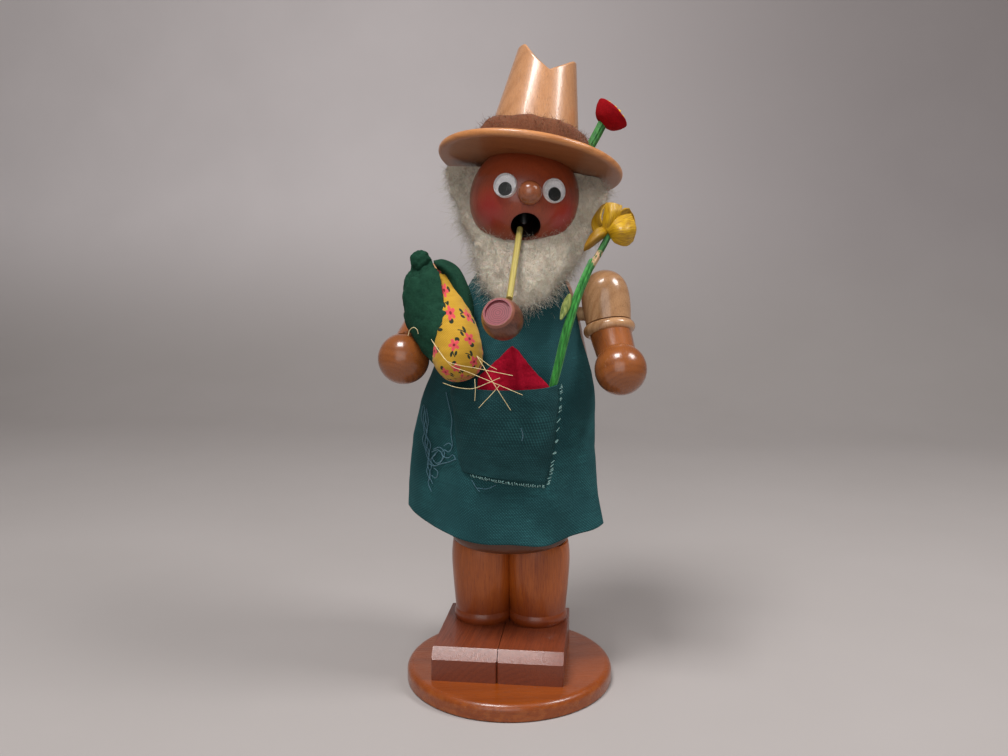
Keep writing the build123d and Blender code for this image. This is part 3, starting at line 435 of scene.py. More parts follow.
# %% Base, foot blocks and legs
def height_stain(low, high, colour, most=0.8):
    """Stain that deepens from height high down to height low, both in mm."""
    def stain(tree, spot, base):
        z = parts_of(tree, spot)["Z"]
        share = maths(tree, "MULTIPLY", ramp(tree, z, high * MM, low * MM), most)
        wander = maths(tree, "MULTIPLY_ADD", noise(tree, spot, 260.0), 0.6, 0.7)
        return blend(tree, maths(tree, "MULTIPLY", share, wander, clamp=True), base, colour)
    return stain


def rim_wear(radius, colour, pale_share=0.5):
    """Paler varnish where hands and shelves rub the outer edge, beyond radius in mm."""
    def wear(tree, spot, base):
        apart = parts_of(tree, spot)
        flat = put(tree, "CombineXYZ", {"X": apart["X"], "Y": apart["Y"]}).outputs[0]
        out = put(tree, "VectorMath", {0: flat}, operation="LENGTH").outputs["Value"]
        share = maths(tree, "MULTIPLY", ramp(tree, out, (radius - 1.5) * MM, radius * MM), pale_share)
        chips = ramp(tree, noise(tree, spot, 420.0, 4.0), 0.45, 0.62)
        return blend(tree, maths(tree, "MULTIPLY", share, chips), base, colour)
    return wear


BASE_RADIUS = 45.0
dress(wood("base varnish", paint(144, 68, 18), paint(109, 46, 9), along=(1, 0.2, 0), heart=(0, -14, -46),
           rings=240.0, ring_share=0.45, rough=0.29, coat=0.26,
           worn=rim_wear(BASE_RADIUS, paint(172, 98, 44), 0.3)), "base_disc")
dress(wood("foot mahogany", paint(128, 60, 32), paint(90, 37, 21), along=(0.07, 1, 0), heart=(24, 0, -30),
           rings=420.0, ring_share=0.35, fibre_share=0.6, rough=0.42, coat=0.25, depth=0.00008),
      "right_shoe", "left_shoe")
dress(wood("leg varnish", paint(177, 91, 29), paint(133, 57, 14), heart=(4, 52, 0), rings=420.0,
           ring_share=0.42, fibre_share=0.6, rough=0.34, coat=0.22,
           worn=height_stain(22.0, 40.0, paint(112, 40, 14), 0.75)), "right_leg", "left_leg")
# Painted shade: the hip block's colour is made dark for the shade it lies in below the apron.
dress(wood("hip painted shade varnish", paint(98, 54, 30), paint(66, 35, 20), heart=(20, 70, 0), rough=0.4, coat=0.2),
      "hip_block")
dress(wood("raw dowel", paint(214, 178, 134), paint(176, 134, 92), heart=(6, 9, 0), rings=500.0, rough=0.6,
           coat=0.0), "leg_dowels", "shoulder_dowels", "elbow_dowels")

# %% [markdown]
# The lift-off part: torso, arms and hat are varnished in honey tones, each piece from a tree of its own. The
# brim's underside is painted darker as shade, and the grain of each forearm runs along it, so its hand shows
# end grain in front.

# %% Torso, arms and hat
def painted_side_shade(matrix, axis_low, axis_high, colour, most=0.85):
    """Painted shade by height inside a tilted place: the share falls from axis_low to axis_high, in mm."""
    way = matrix[:3, 2]
    start = float(way @ matrix[:3, 3])
    def stain(tree, spot, base):
        low, high = (start + axis_low) * MM, (start + axis_high) * MM
        share = maths(tree, "MULTIPLY", ramp(tree, along_of(tree, spot, way), high, low), most)
        return blend(tree, share, base, colour)
    return stain


dress(wood("torso varnish", paint(186, 118, 70), paint(140, 82, 44), along=(0.042, 0, 1), heart=(30, 80, 0),
           rings=240.0, rough=0.3, coat=0.4), "torso")
dress(wood("arm varnish", paint(194, 148, 106), paint(152, 100, 60), along=(0.04, -0.3, 1),
           heart=(0, 60, 150), rings=330.0, ring_share=0.45, rough=0.24, coat=0.55),
      "right_upper_arm", "left_upper_arm", "right_elbow_ring", "left_elbow_ring")
for side, bore in (("right", (-5.5, -22.0, -17.0)), ("left", (5.5, -18.0, -15.0))):
    low, high = np.array(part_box(side + "_forearm")) / MM
    dress(wood(side + " hand varnish", paint(148, 84, 40), paint(104, 52, 22), along=trunk[:3, :3] @ bore,
               heart=(low + high) / 2 + (0, 0, 1.5), rings=560.0, ring_share=0.55, fibre_share=0.4,
               rough=0.25, coat=0.42), side + "_forearm")
# Painted shade: the brim is darkened along its underside, where its own shade falls.
dress(wood("brim varnish painted shade", paint(200, 134, 80), paint(158, 96, 52), along=(0.93, 0.37, 0),
           heart=(0, 14, 176), rings=260.0, rough=0.36, coat=0.25,
           worn=painted_side_shade(hat, -1.9, -0.9, paint(130, 76, 46), 0.75)), "hat_brim")
crown_wood = wood("crown varnish", paint(196, 142, 100), paint(158, 106, 66), along=(0.1, 0.16, 1),
                  heart=(30, 80, 240), rings=360.0, ring_share=0.45, fibre_share=0.6, rough=0.3, coat=0.4)

# %% [markdown]
# The crown was turned as a cone and then sawn: a V gutter runs over its top
# from front to back, and its flanks rise to a flat rim with a soft edge. The
# top's height is a formula in the distance from the gutter. The wall tapers, so
# a few rounds of a loop find where it meets that height.

# %% Hat crown
CROWN_FOOT, CROWN_SLOPE, CROWN_EDGE = 21.4, 0.174, 0.5
GUTTER_ASIDE, GUTTER_BOTTOM, GUTTER_TURN = 2.6, 35.8, np.radians(5.0)
RIM_RISE, RIM_SOFT = 48.6, 0.6


def crown_radius(height):
    """Cone: r = foot - slope h."""
    return CROWN_FOOT - CROWN_SLOPE * height


def crown_top_height(x, y):
    """Height of the sawn top by the distance d from the gutter's turned line.

    h = bottom + 0.72 sqrt(d^2 + 0.25) + 0.05 max(d - 4, 0)^2, and then it is cut off softly at the rim:
    rim - soft log(1 + e^((rim - h) / soft)).
    """
    d = np.abs((x - GUTTER_ASIDE) * np.cos(GUTTER_TURN) + y * np.sin(GUTTER_TURN))
    raised = GUTTER_BOTTOM + 0.72 * np.sqrt(d**2 + 0.25) + 0.05 * np.maximum(d - 4, 0) ** 2
    return RIM_RISE - RIM_SOFT * np.log1p(np.exp((RIM_RISE - raised) / RIM_SOFT))


a, rise = np.meshgrid(ring(360), np.linspace(0, 1, 130), indexing="xy")
lip = 42.0 * np.ones_like(a)
for _ in range(12):
    lip = crown_top_height(crown_radius(lip) * np.cos(a), crown_radius(lip) * np.sin(a))
height = lip * rise
radius = crown_radius(height) - CROWN_EDGE * np.clip((rise - 0.985) / 0.015, 0, 1) ** 2
wall = np.stack([radius * np.cos(a), radius * np.sin(a), height], axis=-1)
inward = np.linspace(1, 0, 60)[1:, None]
top_x, top_y = inward * wall[-1:, :, 0], inward * wall[-1:, :, 1]
lid = np.stack([top_x, top_y, crown_top_height(top_x, top_y)], axis=-1)
crown = surface("sawn_crown", carry(hat_top, np.concatenate([wall, lid])), closed=True, span=(134.0, 60.0),
                solid=True, sharp=32.0)
crown.data.materials.append(crown_wood)
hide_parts("hat_crown")

# %% [markdown]
# The face is stained terracotta, with rosy cheeks sprayed on both sides under the eyes and a mouth that is
# painted black inside. Each tint is a soft ball round a point of the head, so it stays put from every side.

# %% Face and nose
def head_point(side_angle, rise_angle, radius=HEAD_RADIUS):
    """Point of the head ball in the row frame: p = r (cos rise sin side, -cos rise cos side, sin rise)."""
    side, rise = np.radians([side_angle, rise_angle])
    way = np.array([np.cos(rise) * np.sin(side), -np.cos(rise) * np.cos(side), np.sin(rise)])
    return carry(head, way * radius)


def ball_share(tree, spot, centre, inner, outer):
    """1 inside a ball round centre, falling to 0 at outer, in mm."""
    return ramp(tree, away_of(tree, spot, centre * MM), outer * MM, inner * MM)


def face_tint(tree, spot, base):
    """Rosy cheeks, a dark ring round the mouth and the blackened mouth itself."""
    for side in (-1, 1):
        cheek = ball_share(tree, spot, head_point(side * 42.0, -14.0), 1.0, 13.0)
        wander = maths(tree, "MULTIPLY_ADD", noise(tree, spot, 220.0), 0.5, 0.45)
        base = blend(tree, maths(tree, "MULTIPLY", cheek, wander, clamp=True), base, paint(150, 34, 38))
    mouth_deep = ball_share(tree, spot, head_point(0.0, -29.5, 9.0), 13.4, 14.0)
    lip = ball_share(tree, spot, head_point(0.0, -29.5), 6.0, 7.2)
    base = blend(tree, maths(tree, "MULTIPLY", lip, 0.5), base, paint(88, 34, 24))
    return blend(tree, mouth_deep, base, paint(16, 9, 8))


dress(wood("face stain", paint(146, 62, 31), paint(108, 40, 20), along=(0.1, 0, 1), heart=(16, 66, 200),
           rings=330.0, ring_share=0.4, rough=0.32, coat=0.3, worn=face_tint), "head")
low, high = np.array(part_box("nose")) / MM
dress(wood("nose stain", paint(152, 86, 53), paint(114, 58, 34), along=(0, -1, 0.1), heart=(low + high) / 2,
           rings=600.0, ring_share=0.4, rough=0.22, coat=0.6), "nose")

# %% [markdown]
# A wobble eye is a pressed white cup, a clear lens over it and a black disc
# that lies loose inside, so the disc rolls with its joint. Plain plastic and
# pressed metal look dead when they are even, so a faint mottling breaks them.

# %% Wobble eyes and the incense tray
def speckled(name, colour, second, scale, share, rough, depth=0.00002, **constants):
    """Plain moulded or pressed finish with faint mottling."""
    made, tree, shader = new_material(name, **constants)
    spot = spot_of(tree)
    cloud = noise(tree, spot, scale, 4.0, 0.6)
    tone = blend(tree, maths(tree, "MULTIPLY", ramp(tree, cloud, 0.35, 0.7), share), colour, second)
    gloss = maths(tree, "MULTIPLY_ADD", cloud, 0.12, rough - 0.06)
    feed(tree, shader, cloud, depth, Base_Color=tone, Roughness=gloss)
    return made


dress(speckled("eye white", paint(248, 246, 247), paint(226, 220, 224), 900.0, 0.6, 0.35),
      "right_eye_cup", "left_eye_cup")
dress(speckled("pupil black", paint(6, 6, 7), paint(18, 19, 21), 700.0, 0.5, 0.4),
      "right_pupil", "left_pupil")
dress(speckled("tray brass", paint(196, 160, 92), paint(120, 86, 50), 300.0, 0.8, 0.35, Metallic=1.0),
      "incense_tray")
dress(speckled("tack steel", paint(170, 168, 164), paint(110, 104, 98), 500.0, 0.6, 0.3, Metallic=1.0),
      "tray_tack")

lens, tree, shader = new_material("eye lens", Transmission_Weight=1.0, Roughness=0.03, IOR=1.2,
                                  Specular_IOR_Level=0.25, Base_Color=(1.0, 1.0, 1.0, 1.0))
feed(tree, shader, noise(tree, spot_of(tree), 1500.0, 3.0), 0.000004)
dress(lens, "right_eye_dome", "left_eye_dome")

# %% [markdown]
# The pipe is a reed with a turned bowl. The bowl's face is dyed pink and its rings show, because it is cut
# straight across the grain; a paler ring is painted on the rim as a highlight.

# %% Pipe finishes
bowl_way = trunk[:3, :3] @ np.array([-0.2076, -0.8582, 0.4695])
bowl = place_along(carry(trunk, (-2.0, -49.5, HEAD_RISE - 48.5)), bowl_way)
BOWL_RINGS = 7800.0


def bowl_face(tree, spot, base):
    """Pink dyed face inside a painted highlight on the rim: its rings are sin(w (r + wander)) by distance r
    from the front.
    """
    way, middle = bowl[:3, 2], bowl[:3, 3] * MM
    start = float(way @ middle)
    face = ramp(tree, along_of(tree, spot, way), start + 5.2 * MM, start + 5.6 * MM)
    away = away_of(tree, spot, middle + way * 5.9 * MM)
    wobble = maths(tree, "MULTIPLY_ADD", noise(tree, spot, 500.0), 0.0012, -0.0006)
    rings = maths(tree, "SINE", maths(tree, "MULTIPLY", maths(tree, "ADD", away, wobble), BOWL_RINGS))
    pink = blend(tree, maths(tree, "MULTIPLY_ADD", rings, 0.42, 0.45), paint(152, 70, 78), paint(98, 36, 44))
    # Painted highlight: a paler ring along the bowl's rim.
    rim = ramp(tree, away, 5.5 * MM, 5.9 * MM)
    pink = blend(tree, rim, pink, paint(140, 84, 66))
    return blend(tree, face, base, pink)


dress(wood("bowl stain", paint(118, 68, 48), paint(72, 36, 24), along=bowl[:3, 2],
           heart=bowl[:3, 3] + (0, 0, 5), rings=420.0, ring_share=0.4, fibre_share=0.7, rough=0.36, coat=0.3,
           worn=bowl_face), "pipe_bowl")
dress(wood("reed", paint(184, 168, 92), paint(138, 119, 54), along=(0.0, -31.5, -28.0), heart=(5, 0, 200),
           rings=900.0, ring_share=0.3, fibre_share=0.7, rough=0.38, coat=0.1), "pipe_stem")

# %% [markdown]
# Cloth is drawn from its threads. The weave group crosses two sets of threads
# in a twill and gives their height and their shade. It reads the piece's own
# UV map, which is in millimetres, so the threads bend with the folds.

# %% Weave group
weave, given, result = new_group(
    "twill weave",
    [("Vector", "Vector", None), ("Thread", "Float", 0.42), ("Slub", "Float", 0.5)],
    [("Shade", "Float"), ("Height", "Float")],
)
uneven = noise(weave, stretched(weave, given["Vector"], (0.12, 1.6, 1.0)), 1.0, 3.0)
apart = parts_of(weave, given["Vector"])
pitch = maths(weave, "DIVIDE", 2 * np.pi, given["Thread"])
across = maths(weave, "MULTIPLY", apart["X"], pitch)
along = maths(weave, "MULTIPLY", apart["Y"], pitch)
warp = maths(weave, "SINE", across)
weft = maths(weave, "SINE", along)
diagonal = maths(weave, "SINE", maths(weave, "MULTIPLY", maths(weave, "ADD", across, along), 0.5))
crossed = maths(weave, "MULTIPLY", maths(weave, "ADD", warp, weft), 0.3)
height = maths(weave, "MULTIPLY_ADD", diagonal, 0.5, crossed)
slub = maths(weave, "MULTIPLY", maths(weave, "SUBTRACT", uneven, 0.5), given["Slub"])
shade = maths(weave, "ADD", maths(weave, "MULTIPLY_ADD", height, 0.34, 0.5), slub, clamp=True)
weave.links.new(shade, result["Shade"])
weave.links.new(height, result["Height"])
print("group:", weave.name, len(weave.nodes), "nodes")


def cloth(name, shadow, light, thread=0.42, slub=0.5, worn=None, rough=0.85):
    """Woven cloth: thread shade and broad wear clouds between two colours, with a soft sheen."""
    made, tree, shader = new_material(name, Sheen_Weight=0.25, Sheen_Roughness=0.45, Specular_IOR_Level=0.2,
                                      Roughness=rough)
    shader.inputs["Sheen Tint"].default_value = light
    measure = measure_of(tree)
    spot = spot_of(tree)
    threads = use_group(tree, weave, {"Vector": measure, "Thread": thread, "Slub": slub})
    cloud = noise(tree, spot, 60.0, 4.0, 0.55)
    thread_shade = maths(tree, "SUBTRACT", threads["Shade"], 0.95)
    share = maths(tree, "MULTIPLY_ADD", cloud, 0.9, thread_shade, clamp=True)
    tone = blend(tree, share, shadow, light)
    if worn is not None:
        tone = worn(tree, measure, tone)
    feed(tree, shader, threads["Height"], 0.00006, Base_Color=tone)
    return made


# %% [markdown]
# The apron is one piece of teal cotton, cut wider at the hem and glued to the
# trunk at the waist. It hangs free below, so it stands further off the wood
# there, swings out at both sides and falls in a few shallow folds.

# %% Apron
TORSO_RADIUS, TORSO_RISE, WIDEST_RISE = 34.0, 121.9, 56.1
HEM_SHARE, WAIST_SHARE, FREE_SHARE = 0.016, 0.93, 0.56
COTTON_DEPTH = 0.55
torso_outline = np.array([(0.795, 0.0), (0.905, 0.13), (0.99, 0.30), (0.995, 0.46), (0.93, 0.60),
                          (0.80, 0.75), (0.655, 0.88), (0.37, 1.0)]) * (TORSO_RADIUS, TORSO_RISE)
outline_points = smooth_through(torso_outline, 200)


def thicken(piece, name, depth, side):
    """Gives a surface its thickness in mm: side -1 is against its normals, 0 both ways, 1 along them."""
    made = piece.modifiers.new(name, "SOLIDIFY")
    made.thickness, made.offset = depth * MM, side


def cloth_base(up):
    """Radius that the cloth hangs from at a height over the seat: straight below the widest place."""
    return np.interp(np.maximum(up, WIDEST_RISE), outline_points[:, 1], outline_points[:, 0])


apron_table = np.array([
    # share of height, stand-off in the middle, at the right end, its angle, at the left end, its angle
    (0.016, 4.4, 12.4, 78.0, 11.3, 72.0),
    (0.16, 3.4, 12.4, 79.0, 6.4, 74.0),
    (0.33, 2.6, 11.3, 79.5, 3.0, 76.5),
    (0.46, 2.2, 8.1, 79.5, 2.4, 77.5),
    (0.59, 1.9, 5.0, 78.5, 2.0, 77.5),
    (0.72, 1.6, 1.6, 68.0, 1.6, 68.0),
    (0.85, 1.6, 1.6, 66.0, 1.6, 66.0),
    (0.93, 1.6, 1.6, 64.0, 1.6, 64.0),
])


def apron_surface(across, share):
    """Point of the apron at across -1..1 and a share of the trunk's height.

    r = base + middle + (end - middle) |u|^3 - fold cos(3 pi u) + wrinkles, angle = end angle u.
    """
    row = [np.interp(share, apron_table[:, 0], apron_table[:, k]) for k in range(1, 6)]
    end = np.where(across < 0, row[1], row[3])
    angle = np.radians(np.where(across < 0, row[2], row[4])) * across
    up = share * TORSO_RISE
    free = np.clip(1 - share / FREE_SHARE, 0, 1)
    fold = 1.5 * free * np.clip((1 - np.abs(across)) / 0.25, 0, 1)
    spread = (end - row[0]) * np.abs(across) ** 3
    radius = cloth_base(up) + row[0] + spread - fold * np.cos(3 * np.pi * across)
    ripple = 0.5 * free * np.sin(9.0 * across + 2.2 * share * 10)
    radius += ripple * np.clip((1 - np.abs(across)) / 0.2, 0, 1)
    flat = np.stack([angle * TORSO_RADIUS, up, 0 * up], axis=-1)
    radius += 0.22 * soft_field(flat, 24.0, 5) + 0.12 * free
    return np.stack([radius * np.sin(angle), -radius * np.cos(angle), up], axis=-1)


apron_across, apron_share = np.meshgrid(np.linspace(-1, 1, 161), np.linspace(0, 1, 181), indexing="xy")
hem = HEM_SHARE + 0.05 * np.abs(apron_across) ** 2.2 + 0.004 * np.sin(apron_across * 11)
apron_points = carry(trunk, apron_surface(apron_across, hem + (WAIST_SHARE - hem) * apron_share))
apron = surface("apron_cloth", apron_points, span=(100.0, 112.0))
thicken(apron, "cloth thickness", COTTON_DEPTH, -1.0)
apron_cotton = cloth("apron cotton", paint(24, 64, 68), paint(66, 136, 138), thread=0.62)
apron.data.materials.append(apron_cotton)
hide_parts("apron")

# %% [markdown]
# The pocket is a separate piece of the same cloth, sewn on along its sides and
# its bottom. It hangs open: its top edge stands away from the apron, and its
# lower right corner sags. Its edges were overcast by hand with pale thread.

# %% Pocket
pocket_table = np.array([
    # height over the seat, angle at the right end, at the left end, how far the middle gapes
    (29.3, 25.0, 26.0, 0.3),
    (30.6, 28.0, 27.5, 0.9),
    (36.0, 31.5, 29.0, 1.6),
    (44.0, 34.0, 31.0, 2.6),
    (57.0, 38.0, 33.0, 4.4),
    (64.2, 42.7, 34.0, 5.2),
    (68.3, 43.0, 34.6, 5.6),
])


def pocket_surface(across, row):
    """Point of the pocket at across -1..1 and row 0..1, from its bottom to its top.

    r = the apron's face + 1.75 + gape (1 - u^6) + wrinkles, angle = end angle u.
    """
    place_in = np.linspace(0, 1, len(pocket_table))
    up, right, left, gape = [np.interp(row, place_in, pocket_table[:, k]) for k in range(4)]
    angle = np.radians(np.where(across < 0, right, left)) * across
    up = up + row * (1.6 * across - 1.2 * (1 - across**2)) - (1 - row) * 1.6 * across * (1 - row)
    middle = np.interp(up / TORSO_RISE, apron_table[:, 0], apron_table[:, 1])
    seam = cloth_base(up) + middle + 1.75
    flat = np.stack([angle * 36, up, 0 * up], axis=-1)
    radius = seam + gape * (1 - across**6) + 0.35 * soft_field(flat, 15.0, 8) * (1 - across**8)
    return np.stack([radius * np.sin(angle), -radius * np.cos(angle), up], axis=-1)


across, row = np.meshgrid(np.linspace(-1, 1, 101), np.linspace(0, 1, 71), indexing="xy")
pocket_points = carry(trunk, pocket_surface(across, row))
pocket = surface("pocket_cloth", pocket_points, span=(47.0, 40.0))
thicken(pocket, "cloth thickness", COTTON_DEPTH, -1.0)
# Painted shade: the pocket is the apron's cloth, given a little darker colours.
pocket.data.materials.append(cloth("pocket cotton painted shade", paint(20, 55, 58), paint(54, 112, 114), thread=0.62))
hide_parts("apron_pocket")

# %% [markdown]
# The hand sewing shows. Short pale stitches run over the pocket's lower edge
# and up its right side, and the raw edge on the left has come undone: threads
# hang from it and have tangled into two small loops.

# %% Stitches
def stitch_lines(across, row, way, lift):
    """Three points a stitch: on the pocket, over its edge and on the apron.

    way steps over the edge and lift stands off the cloth: p = edge + way * 0.45 + lift over the edge.
    """
    inside = pocket_surface(across - 0.05 * (np.abs(way[0]) > 0), row + 0.035 * (way[2] < 0))
    edge = pocket_surface(across, row + 0.01)
    lifted = edge + np.array(way) * 0.45 + lift
    outside = edge + np.array(way) - 0.3 * np.array(lift) + (0.3, 0.0, 0.0)
    return np.stack([inside + lift, lifted, outside], axis=1)


rng = np.random.default_rng(91)
BOTTOM_STITCHES, SIDE_STITCHES, STITCH_RADIUS = 34, 25, 0.17
place_on = np.linspace(-0.82, 0.95, BOTTOM_STITCHES) + rng.normal(0, 0.008, BOTTOM_STITCHES)
under = stitch_lines(place_on, np.zeros(BOTTOM_STITCHES), (0.0, 0.0, -0.9), (0.0, -0.8, 0.0))
place_on = np.linspace(0.03, 0.97, SIDE_STITCHES) + rng.normal(0, 0.012, SIDE_STITCHES)
beside = stitch_lines(np.ones(SIDE_STITCHES), place_on, (0.8, 0.3, 0.0), (0.7, -0.9, 0.0))
stitches = np.concatenate([under, beside])
stitches = carry(trunk, stitches + rng.normal(0, 0.16, stitches.shape))
sewn = np.stack([closed_ends(tube(smooth_through(line, 8), STITCH_RADIUS, 6, hint=(0.3, 0.2, 1.0)))
                 for line in stitches])
sewing = surface("pocket_stitches", sewn, closed=True, span=(1.0, 2.0), solid=True)

# %% [markdown]
# The loose threads are given where they are seen from the front. Each point is
# then moved along its line of sight until it lies just before the cloth there,
# so a thread looks the same from the front and keeps to the cloth's folds.

# %% Loose threads
THREAD_RADIUS, THREAD_STANDS_OFF, SIGHT_WIDTH = 0.19, 0.75, 0.0024
loose_threads = [
    [(-23.6, -22.5, 129.4), (-22.2, -24, 124.3), (-20.8, -25, 118.3), (-21.2, -25, 113.0),
     (-20.4, -25.5, 107.7)],
    [(-34.6, -14, 122.6), (-33.2, -17, 117.6), (-33.7, -19, 112.9), (-31.6, -21, 108.6),
     (-32.5, -21, 104.0), (-31.2, -21.5, 99.9), (-32.2, -21, 96.0), (-30.9, -21, 92.2)],
    [(-34.0, -15, 121.0), (-34.2, -17, 116.6), (-32.4, -19.5, 111.5), (-33.0, -20.5, 107.6),
     (-31.4, -21.3, 103.0)],
    [(-31.5, -22, 99.6), (-28.9, -22.5, 98.5), (-25.8, -23.5, 99.7), (-22.3, -24.5, 100.8),
     (-19.3, -25, 102.2)],
    [(-24.2, -25, 107.5), (-21.9, -26.2, 109.0), (-20.6, -26.5, 107.5), (-21.9, -26.5, 105.4),
     (-24.0, -26, 106.1), (-24.9, -26, 104.0), (-22.3, -26.5, 102.9), (-20.2, -26.5, 104.2),
     (-19.0, -26.3, 102.1)],
    [(-29.6, -23, 104.5), (-26.9, -24, 105.6), (-24.7, -24.8, 103.7), (-25.5, -25, 100.8),
     (-28.2, -24, 98.9), (-30.0, -23, 101.1), (-27.7, -24, 103.9)],
    [(-30.3, -22, 94.6), (-28.0, -23, 93.6), (-27.1, -23.5, 96.3), (-28.8, -23, 97.8)],
    [(-12.2, -28.5, 94.5), (-10.5, -28.8, 91.7), (-8.9, -28.8, 89.7)],
    [(-9.7, -28.8, 91.3), (-6.0, -29, 91.1), (-2.3, -29, 92.8)],
    [(8.0, -31.5, 116.8), (8.8, -31.6, 114.0), (8.4, -31.5, 111.6)],
]
# Some threads lie twice or three times side by side
for number, shift in ((1, (1.1, 0, -1.6)), (2, (-0.9, 0, 1.3)), (1, (0.6, 0, -5.0)), (5, (0.7, 0, 1.1))):
    loose_threads.append(np.array(loose_threads[number]) + shift)
viewpoint = np.array([42.5, -385.7, 180.4])
whole_apron = apron_surface(apron_across, HEM_SHARE + (WAIST_SHARE - HEM_SHARE) * apron_share)
cloth_points = np.concatenate([pocket_points.reshape(-1, 3), carry(trunk, whole_apron).reshape(-1, 3)])
cloth_points -= viewpoint
cloth_away = np.linalg.norm(cloth_points, axis=1)


def laid_on_cloth(line):
    """Moves a thread along its sight lines until it lies just before the cloth.

    p' = v + (p - v) depth / |p - v| from the viewpoint v. depth is the nearest cloth's on that line,
    evened out over seven points, less the stand-off.
    """
    sight = line - viewpoint
    away = np.linalg.norm(sight, axis=1)
    near = (sight / away[:, None]) @ (cloth_points / cloth_away[:, None]).T > np.cos(SIGHT_WIDTH)
    depth = np.where(near, cloth_away, np.inf).min(axis=1)
    depth = np.where(np.isfinite(depth), depth, away)
    padded = np.pad(depth, 3, mode="edge")
    depth = np.minimum(depth, np.convolve(padded, np.ones(7) / 7, mode="valid")) - THREAD_STANDS_OFF
    return viewpoint + sight * (depth / away)[:, None]


strands = [closed_ends(tube(laid_on_cloth(smooth_through(line, 60)), THREAD_RADIUS, 6, hint=(0.1, 1.0, 0.2)))
           for line in loose_threads]
frays = surface("loose_threads", np.stack(strands), closed=True, span=(1.0, 30.0), solid=True)


# %% Sewing thread finish
def yarn(name, dark, light):
    """Twisted sewing thread: slanted stripes along its UV, in two tones."""
    made, tree, shader = new_material(name, Sheen_Weight=0.2, Specular_IOR_Level=0.2, Roughness=0.8)
    measure = measure_of(tree)
    apart = parts_of(tree, measure)
    slant = maths(tree, "MULTIPLY_ADD", apart["X"], 12.6, maths(tree, "MULTIPLY", apart["Y"], 9.0))
    ply = maths(tree, "SINE", slant)
    worn_part = noise(tree, spot_of(tree), 500.0)
    share = maths(tree, "MULTIPLY_ADD", ply, 0.2, worn_part, clamp=True)
    feed(tree, shader, ply, 0.00003, Base_Color=blend(tree, share, dark, light))
    return made


sewing.data.materials.append(yarn("pale thread", paint(84, 130, 130), paint(150, 186, 178)))
frays.data.materials.append(yarn("teal thread", paint(42, 84, 102), paint(96, 138, 152)))

# %% [markdown]
# The kerchief is a triangle of red felt glued on the bib, its tip up. Felt has
# no threads to draw, so its look comes from fine tangled noise.

# %% Felt material
def felt(name, dark, light, tuft=900.0, depth=0.0003):
    """Pressed fibres: fine tangled noise for the nap, broad clouds for the wear."""
    made, tree, shader = new_material(name, Sheen_Weight=0.07, Sheen_Roughness=0.5, Specular_IOR_Level=0.1,
                                      Roughness=0.92)
    shader.inputs["Sheen Tint"].default_value = light
    spot = spot_of(tree)
    nap = noise(tree, spot, tuft, 5.0, 0.7)
    cloud = noise(tree, spot, tuft * 0.15, 3.0)
    share = maths(tree, "MULTIPLY_ADD", nap, 0.9, maths(tree, "MULTIPLY_ADD", cloud, 0.7, -0.32), clamp=True)
    feed(tree, shader, nap, depth, Base_Color=blend(tree, share, dark, light))
    return made


# %% Kerchief
TIP_RISE, SIDE_SHARES = 148.2, [0, 0.25, 1.0]
across, rise = np.meshgrid(np.linspace(0, 1, 71), np.linspace(0, 1, 61), indexing="xy")
left_x, right_x = [np.interp(rise, SIDE_SHARES, edge) for edge in ((-10.6, -10.1, 3.3), (19.2, 18.4, 3.7))]
left_z, right_z = [np.interp(rise, SIDE_SHARES, edge)
                   for edge in ((128.4, 135.4, TIP_RISE), (127.4, 131.2, TIP_RISE))]
x, z = left_x + (right_x - left_x) * across, left_z + (right_z - left_z) * across
# Its face bends round the bib, leans back with height, and has one crease and some puckers
crease = 0.7 * np.exp(-(((x - 4.4 - 0.16 * (TIP_RISE - z)) / 1.1) ** 2))
puckers = 0.25 * soft_field(np.stack([x, 0 * x, z], -1), 9.0, 3)
y = -23.0 + 0.014 * (x - 2) ** 2 + 0.19 * (z - 132.0) - crease + puckers
kerchief = surface("kerchief_felt", np.stack([x, y, z], axis=-1), span=(27.4, 17.0))
thicken(kerchief, "felt thickness", 1.1, 1.0)
red_felt = felt("red felt", paint(114, 2, 21), paint(188, 20, 50))
kerchief.data.materials.append(red_felt)
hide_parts("kerchief")

# %% [markdown]
# The corn is a small stuffed bag of printed cotton. The bag is a turned profile
# with soft lumps, and the print is worked out from cells in its UV map, so the
# flowers lie flat on the cloth and no picture is needed.

# %% Corn bag
corn_foot, corn_tip = np.array([-20.8, -38.4, 79.6]), np.array([-31.8, -22.5, 113.8])
corn_place = place_along(carry(trunk, corn_foot), trunk[:3, :3] @ (corn_tip - corn_foot))
corn_length = float(np.linalg.norm(corn_tip - corn_foot))
corn_rows = smooth_through([(0.02, -10.2), (4.6, -9.6), (8.0, -7.0), (9.9, -2.0), (10.1, 4.0), (9.6, 11.0),
                            (8.6, 19.0), (7.2, 27.0), (5.8, corn_length - 4.5), (3.6, corn_length - 0.8),
                            (0.02, corn_length)], 110)
a = ring(96)
corn_points = np.stack([corn_rows[:, :1] * np.cos(a), corn_rows[:, :1] * np.sin(a),
                        corn_rows[:, 1:] + 0 * a], axis=-1)
lumps = 1 + 0.035 * soft_field(corn_points, 16.0, 11) + 0.02 * np.cos(3 * a + 0.4)
corn_points[..., :2] *= lumps[..., None]
corn = surface("corn_bag", carry(corn_place, corn_points), closed=True, span=(60.0, 52.0), solid=True)
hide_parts("corn")


